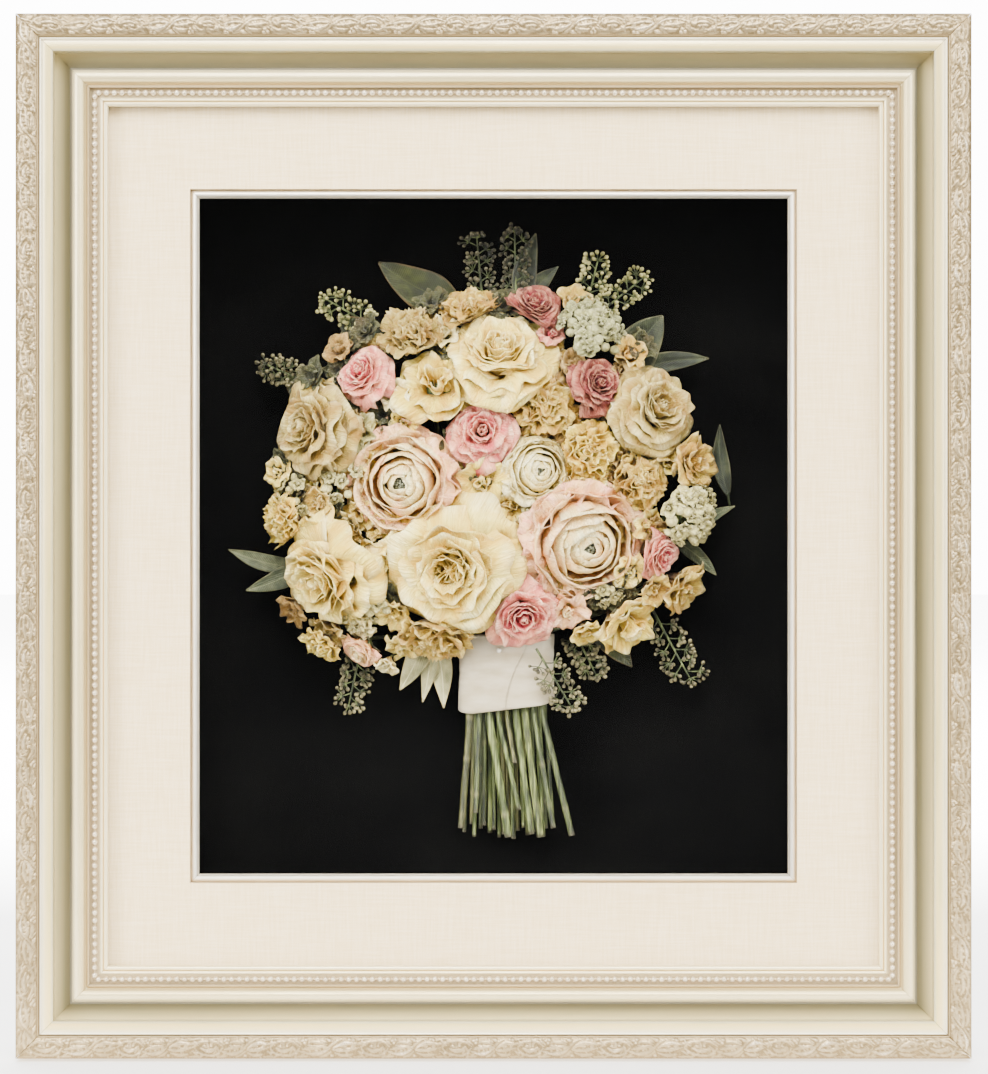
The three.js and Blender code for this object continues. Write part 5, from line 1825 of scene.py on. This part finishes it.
def stalk_to(cutting, place, facing, rng):
    """A thin stalk from a filler's foot back between the stems and down towards the ribbon."""
    low = place - facing * 6
    back = np.array([low[0], FILLER_STALK["depth"], low[2]])
    towards = unit(np.array([BINDING_MIDDLE - low[0], 0.0, BINDING_TOP - low[2]]))
    ribbon_away = math.hypot(BINDING_MIDDLE - low[0], BINDING_TOP - low[2])
    far = min(FILLER_STALK["longest"], 0.6 * ribbon_away)
    end = back + towards * far + np.array([0, 1.2, 0])
    path = rounded_path([end, back, low, place - facing * 2], 2.5, 4)
    add_tube(cutting, path, FILLER_STALK["radius"], 1, (0, 0, rng.uniform(), 0.6), 6)


def filler_seat(x, z, sunk):
    """A point just under the bouquet's dome and the way the dome faces there."""
    across = (x - DOME["x"]) / DOME["across"]
    over = (z - DOME["z"]) / DOME["up"]
    height = math.sqrt(max(0.0, 1 - across * across - over * over))
    place = np.array([x, min(DOME["edge"] - DOME["rise"] * height + sunk, FILLER_FRONT), z])
    return place, unit(np.array([across * 0.9, -(0.5 + 0.7 * height), over * 0.9]))


LOOSE_PETALS = [
    whorl(3, (0.04, -0.35), 0.75, (84, 70), 0.34, ruffle=0.07, waves=2, crumple=0.08, wrinkle=0.016,
          stray=24),
    whorl(5, (0.08, -0.4), 1.15, (72, 22), 0.5, wrap=1.6, ruffle=0.07, waves=2, crumple=0.09, wrinkle=0.016,
          curl=0.06, stray=24),
]
tan_petal = petal_finish(
    "tan_petal",
    colour(120, 88, 44),
    colour(160, 134, 88),
    colour(190, 168, 124),
    colour(56, 38, 18),
    colour(118, 84, 46),
)
# Each filler: x, z, radius, how far it sits under the dome, its kind, petal, slot and seed
FILLERS = {
    "florets_left_upper": (-103, 36, 19, 4, "florets", floret_petal, "petal_white", 71),
    "florets_left": (-132, 27, 16, 3, "florets", floret_petal, "petal_white", 72),
    "florets_low_left": (-83, -42, 19, 2, "florets", floret_petal, "petal_white", 73),
    "florets_centre": (27, 12, 14, 3, "florets", floret_petal, "petal_white", 74),
    "petals_yellow_centre": (-8, 36, 21, 4, "petals", yellow_petal, "petal_yellow", 75),
    "carnation_low_left": (-114, -72, 17, 0, "carnation", yellow_petal, "petal_yellow", 76),
    "petals_gold_top": (52, 153, 15, 6, "petals", gold_petal, "petal_gold", 77),
    "petals_gold_upper_right": (88, 118, 16, 3, "petals", gold_petal, "petal_gold", 78),
    "petals_cream_upper_left": (-63, 92, 15, 2, "petals", white_petal, "petal_white", 79),
    "petals_white_left": (-88, 68, 17, 4, "petals", floret_petal, "petal_white", 80),
    "petals_white_right": (82, 80, 13, 1, "petals", white_petal, "petal_white", 81),
    "petals_beige_upper_left": (-100, 122, 14, 3, "petals", tan_petal, "petal_gold", 82),
    "petals_tan_left": (-131, -47, 16, 2, "petals", tan_petal, "petal_gold", 83),
    "petals_white_low": (-70, -84, 11, 2, "petals", white_petal, "petal_white", 84),
    "petals_pink_top": (38, 132, 12, 3, "petals", pink_petal, "petal_pink", 85),
    "petals_cream_low_left": (-78, -12, 17, 5, "petals", cream_petal, "petal_cream", 86),
    "petals_cream_under_top": (-22, 92, 15, 4, "petals", cream_petal, "petal_cream", 87),
    "petals_yellow_right": (64, 30, 16, 5, "petals", yellow_petal, "petal_yellow", 88),
    "petals_gold_right": (112, 58, 15, 4, "petals", gold_petal, "petal_gold", 89),
    "petals_blush_low": (48, -48, 18, 3, "petals", blush_petal, "petal_blush", 90),
    "petals_cream_low": (-64, -50, 15, 4, "petals", cream_petal, "petal_cream", 91),
    "petals_gold_low_right": (104, -34, 15, 3, "petals", gold_petal, "petal_gold", 92),
    "petals_cream_right": (100, 8, 15, 5, "petals", cream_petal, "petal_cream", 93),
    "petals_yellow_left": (-116, 2, 17, 4, "petals", yellow_petal, "petal_yellow", 94),
    "petals_cream_left": (-94, 62, 15, 6, "petals", cream_petal, "petal_cream", 95),
    "petals_white_upper": (-32, 132, 14, 4, "petals", white_petal, "petal_white", 96),
    "petals_cream_centre": (10, 20, 15, 5, "petals", cream_petal, "petal_cream", 97),
    "florets_lower_right": (76, -36, 13, 3, "florets", floret_petal, "petal_white", 98),
    "petals_tan_upper": (52, 112, 13, 4, "petals", tan_petal, "petal_gold", 99),
    "petals_yellow_upper": (-58, 74, 12, 3, "petals", yellow_petal, "petal_yellow", 101),
    "petals_cream_far_left": (-140, 42, 14, 5, "petals", cream_petal, "petal_cream", 102),
    # The darker copy of the cream petal, as painted shade.
    "petals_beige_low_left": (-108, -60, 17, 2, "petals", shaded_cream_petal, "petal_cream", 103),
    "florets_lowest_left": (-90, -56, 14, 3, "florets", floret_petal, "petal_white", 104),
    "petals_cream_lowest_left": (-60, -72, 15, 3, "petals", cream_petal, "petal_cream", 105),
    "petals_yellow_low_right": (60, -62, 14, 3, "petals", yellow_petal, "petal_yellow", 106),
    "petals_cream_low_right": (88, -22, 15, 3, "petals", cream_petal, "petal_cream", 107),
    "petals_gold_left": (-112, 22, 15, 4, "petals", gold_petal, "petal_gold", 108),
    "petals_white_low_left": (-86, -58, 12, 1, "petals", white_petal, "petal_white", 109),
}
for name, (x, z, radius, sunk, kind, petal, slot, seed) in FILLERS.items():
    rng = np.random.default_rng(seed)
    place, facing = filler_seat(x, z, sunk)
    head = (place, turned_to(facing, rng.uniform(0, 6)))
    filler = Cutting()
    if kind == "florets":
        floret_cluster(11, 0.85, 0.4)(filler, rng, head, radius)
    elif kind == "carnation":
        add_whorls(filler, rng, head, radius, CARNATION[1:], (15, 9))
    else:
        add_whorls(filler, rng, head, radius, LOOSE_PETALS, (15, 9))
    stalk_to(filler, place, facing, rng)

    piece = filler.make(name, [petal, dried_stem])
    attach(piece, "root")


# Behind the big heads the bouquet is packed with crumpled leaves and loose petals, so that only
# small dark gaps are left between the flowers.
PACKING = [
    whorl(4, (0.05, -0.3), 1.1, (70, 34), 0.5, wrap=1.5, ruffle=0.1, crumple=0.12, stray=28),
    whorl(5, (0.08, -0.36), 1.35, (56, 4), 0.56, wrap=1.8, ruffle=0.1, crumple=0.13, stray=28),
]
packed_leaf = petal_finish(
    "packed_leaf",
    colour(40, 42, 22),
    colour(62, 63, 38),
    colour(90, 87, 56),
    colour(20, 20, 10),
    colour(70, 54, 30),
)
packing_rng = np.random.default_rng(300)
packings = {
    "packed_leaves": (packed_leaf, "leaf_green"),
    "packed_yellow": (yellow_petal, "petal_yellow"),
    # The darker copy of the cream petal, as painted shade.
    "packed_tan": (tan_petal, "petal_gold"),
    "packed_cream": (shaded_cream_petal, "petal_cream"),
    "packed_gold": (gold_petal, "petal_gold"),
}
packed = {name: Cutting() for name in packings}
PACKED_SPACING = 17
PACKED_AREA = {"across": 143, "up": 114, "leaves_from": 0.74, "to": 0.93}
CLEAR_OF_HEAD = 0.74
PACKED_UNDER = 6.5
PACKED_FRONT = -39
for row in range(-8, 9):
    for column in range(-10, 11):
        x = DOME["x"] + (column + 0.5 * (row % 2)) * PACKED_SPACING + packing_rng.uniform(-4, 4)
        z = DOME["z"] + row * PACKED_SPACING * 0.87 + packing_rng.uniform(-4, 4)
        kind = list(packed)[packing_rng.integers(len(packed))]
        size = packing_rng.uniform(9, 12)
        inside = ((x - DOME["x"]) / PACKED_AREA["across"]) ** 2 + ((z - DOME["z"]) / PACKED_AREA["up"]) ** 2
        if inside > PACKED_AREA["leaves_from"]:
            kind = "packed_leaves"
        clear = min(math.hypot(x - bloom[0], z - bloom[1]) / bloom[2] for bloom in BLOOMS.values())
        if inside > PACKED_AREA["to"] or clear < CLEAR_OF_HEAD:
            continue
        place, facing = filler_seat(x, z, PACKED_UNDER)
        place[1] = min(place[1], PACKED_FRONT)
        head = (place, turned_to(facing, packing_rng.uniform(0, 6)))
        add_whorls(packed[kind], packing_rng, head, size, PACKING, (9, 6))
        stalk_to(packed[kind], place, facing, packing_rng)
for name, (petal, slot) in packings.items():
    piece = packed[name].make(name, [petal, dried_stem])
    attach(piece, "root")


# The studio: a pale floor, white all round, and large soft lamps above, in front and at the
# sides. The frame stands upright on the floor, which glows softly towards its far end.
FLOOR_SIZE = 20
FLOOR_MIDDLE = 9.4
FLOOR_LEVEL = -0.336
bpy.ops.mesh.primitive_plane_add(size=FLOOR_SIZE, location=(0, FLOOR_MIDDLE, FLOOR_LEVEL))
floor = bpy.context.object
floor.name = "studio_floor"
floor_finish, floor_shader = new_finish("pale_floor", 0.8)
floor_tone = noise(floor_finish, place_of(floor_finish), 3, 2)
join(
    floor_finish,
    ramp(floor_finish, floor_tone, [(0.3, colour(240, 239, 237)), (0.7, colour(245, 244, 242))]),
    floor_shader.inputs["Base Color"],
)
floor_shader.inputs["Emission Color"].default_value = (1, 1, 1, 1)
floor_back = lay(floor_finish, "SeparateXYZ", {"Vector": place_of(floor_finish)}).outputs["Y"]
floor_glow = lay(
    floor_finish,
    "MapRange",
    {"Value": floor_back, "From Min": -8.6, "From Max": -7.6, "To Min": 1.2, "To Max": 10.0},
).outputs["Result"]
join(floor_finish, floor_glow, floor_shader.inputs["Emission Strength"])
floor.data.materials.append(floor_finish)

world = bpy.data.worlds.new("studio")
world.use_nodes = True
bpy.context.scene.world = world
WORLD_LIGHT = 0.2
WORLD_SEEN = 14.0
sky = world.node_tree.nodes["Background"]
seen = world.node_tree.nodes.new("ShaderNodeLightPath")
strength = world.node_tree.nodes.new("ShaderNodeMapRange")
strength.inputs["To Min"].default_value = WORLD_LIGHT
strength.inputs["To Max"].default_value = WORLD_SEEN
world.node_tree.links.new(seen.outputs["Is Camera Ray"], strength.inputs["Value"])
world.node_tree.links.new(strength.outputs["Result"], sky.inputs["Strength"])
sky.inputs["Color"].default_value = (1, 1, 1, 1)

# Each lamp's place, what it is turned to, its size in metres and its power in watts
for name, place, target, size, power in (
    ("lamp_above", (0.0, -1.9, 2.1), (0, -0.1, 0), 1.6, 127),
    ("lamp_front", (0.0, -3.2, 1.9), (0, -0.1, 0), 1.2, 77),
    ("lamp_left", (-2.0, -1.8, 0.8), (0, -0.1, 0), 1.4, 102),
    ("lamp_right", (2.0, -1.8, 0.6), (0, -0.1, 0), 1.4, 69),
    ("lamp_floor", (0.0, 4.0, 3.0), (0, 4.0, -0.33), 5.5, 1500),
):
    lamp = bpy.data.lights.new(name, "AREA")
    lamp.shape = "SQUARE"
    lamp.size = size
    lamp.energy = power
    stand = bpy.data.objects.new(name, lamp)
    stand.location = place
    stand.rotation_euler = (Vector(target) - Vector(place)).to_track_quat("-Z", "Y").to_euler()
    bpy.context.scene.collection.objects.link(stand)

# The camera stands 2.4 m in front of the frame, level with its middle
CAMERA_DISTANCE = 2.4
VIEW_HEIGHT = 0.6852
SENSOR = 36
FRAME_FRONT = -0.129
camera = bpy.data.cameras.new("camera")
camera.sensor_width = SENSOR
camera.lens = SENSOR * CAMERA_DISTANCE / VIEW_HEIGHT
tripod = bpy.data.objects.new("camera", camera)
tripod.location = (0.0003, FRAME_FRONT - CAMERA_DISTANCE, -0.0006)
tripod.rotation_euler = (math.radians(90), 0, 0)
bpy.context.scene.collection.objects.link(tripod)
bpy.context.scene.camera = tripod
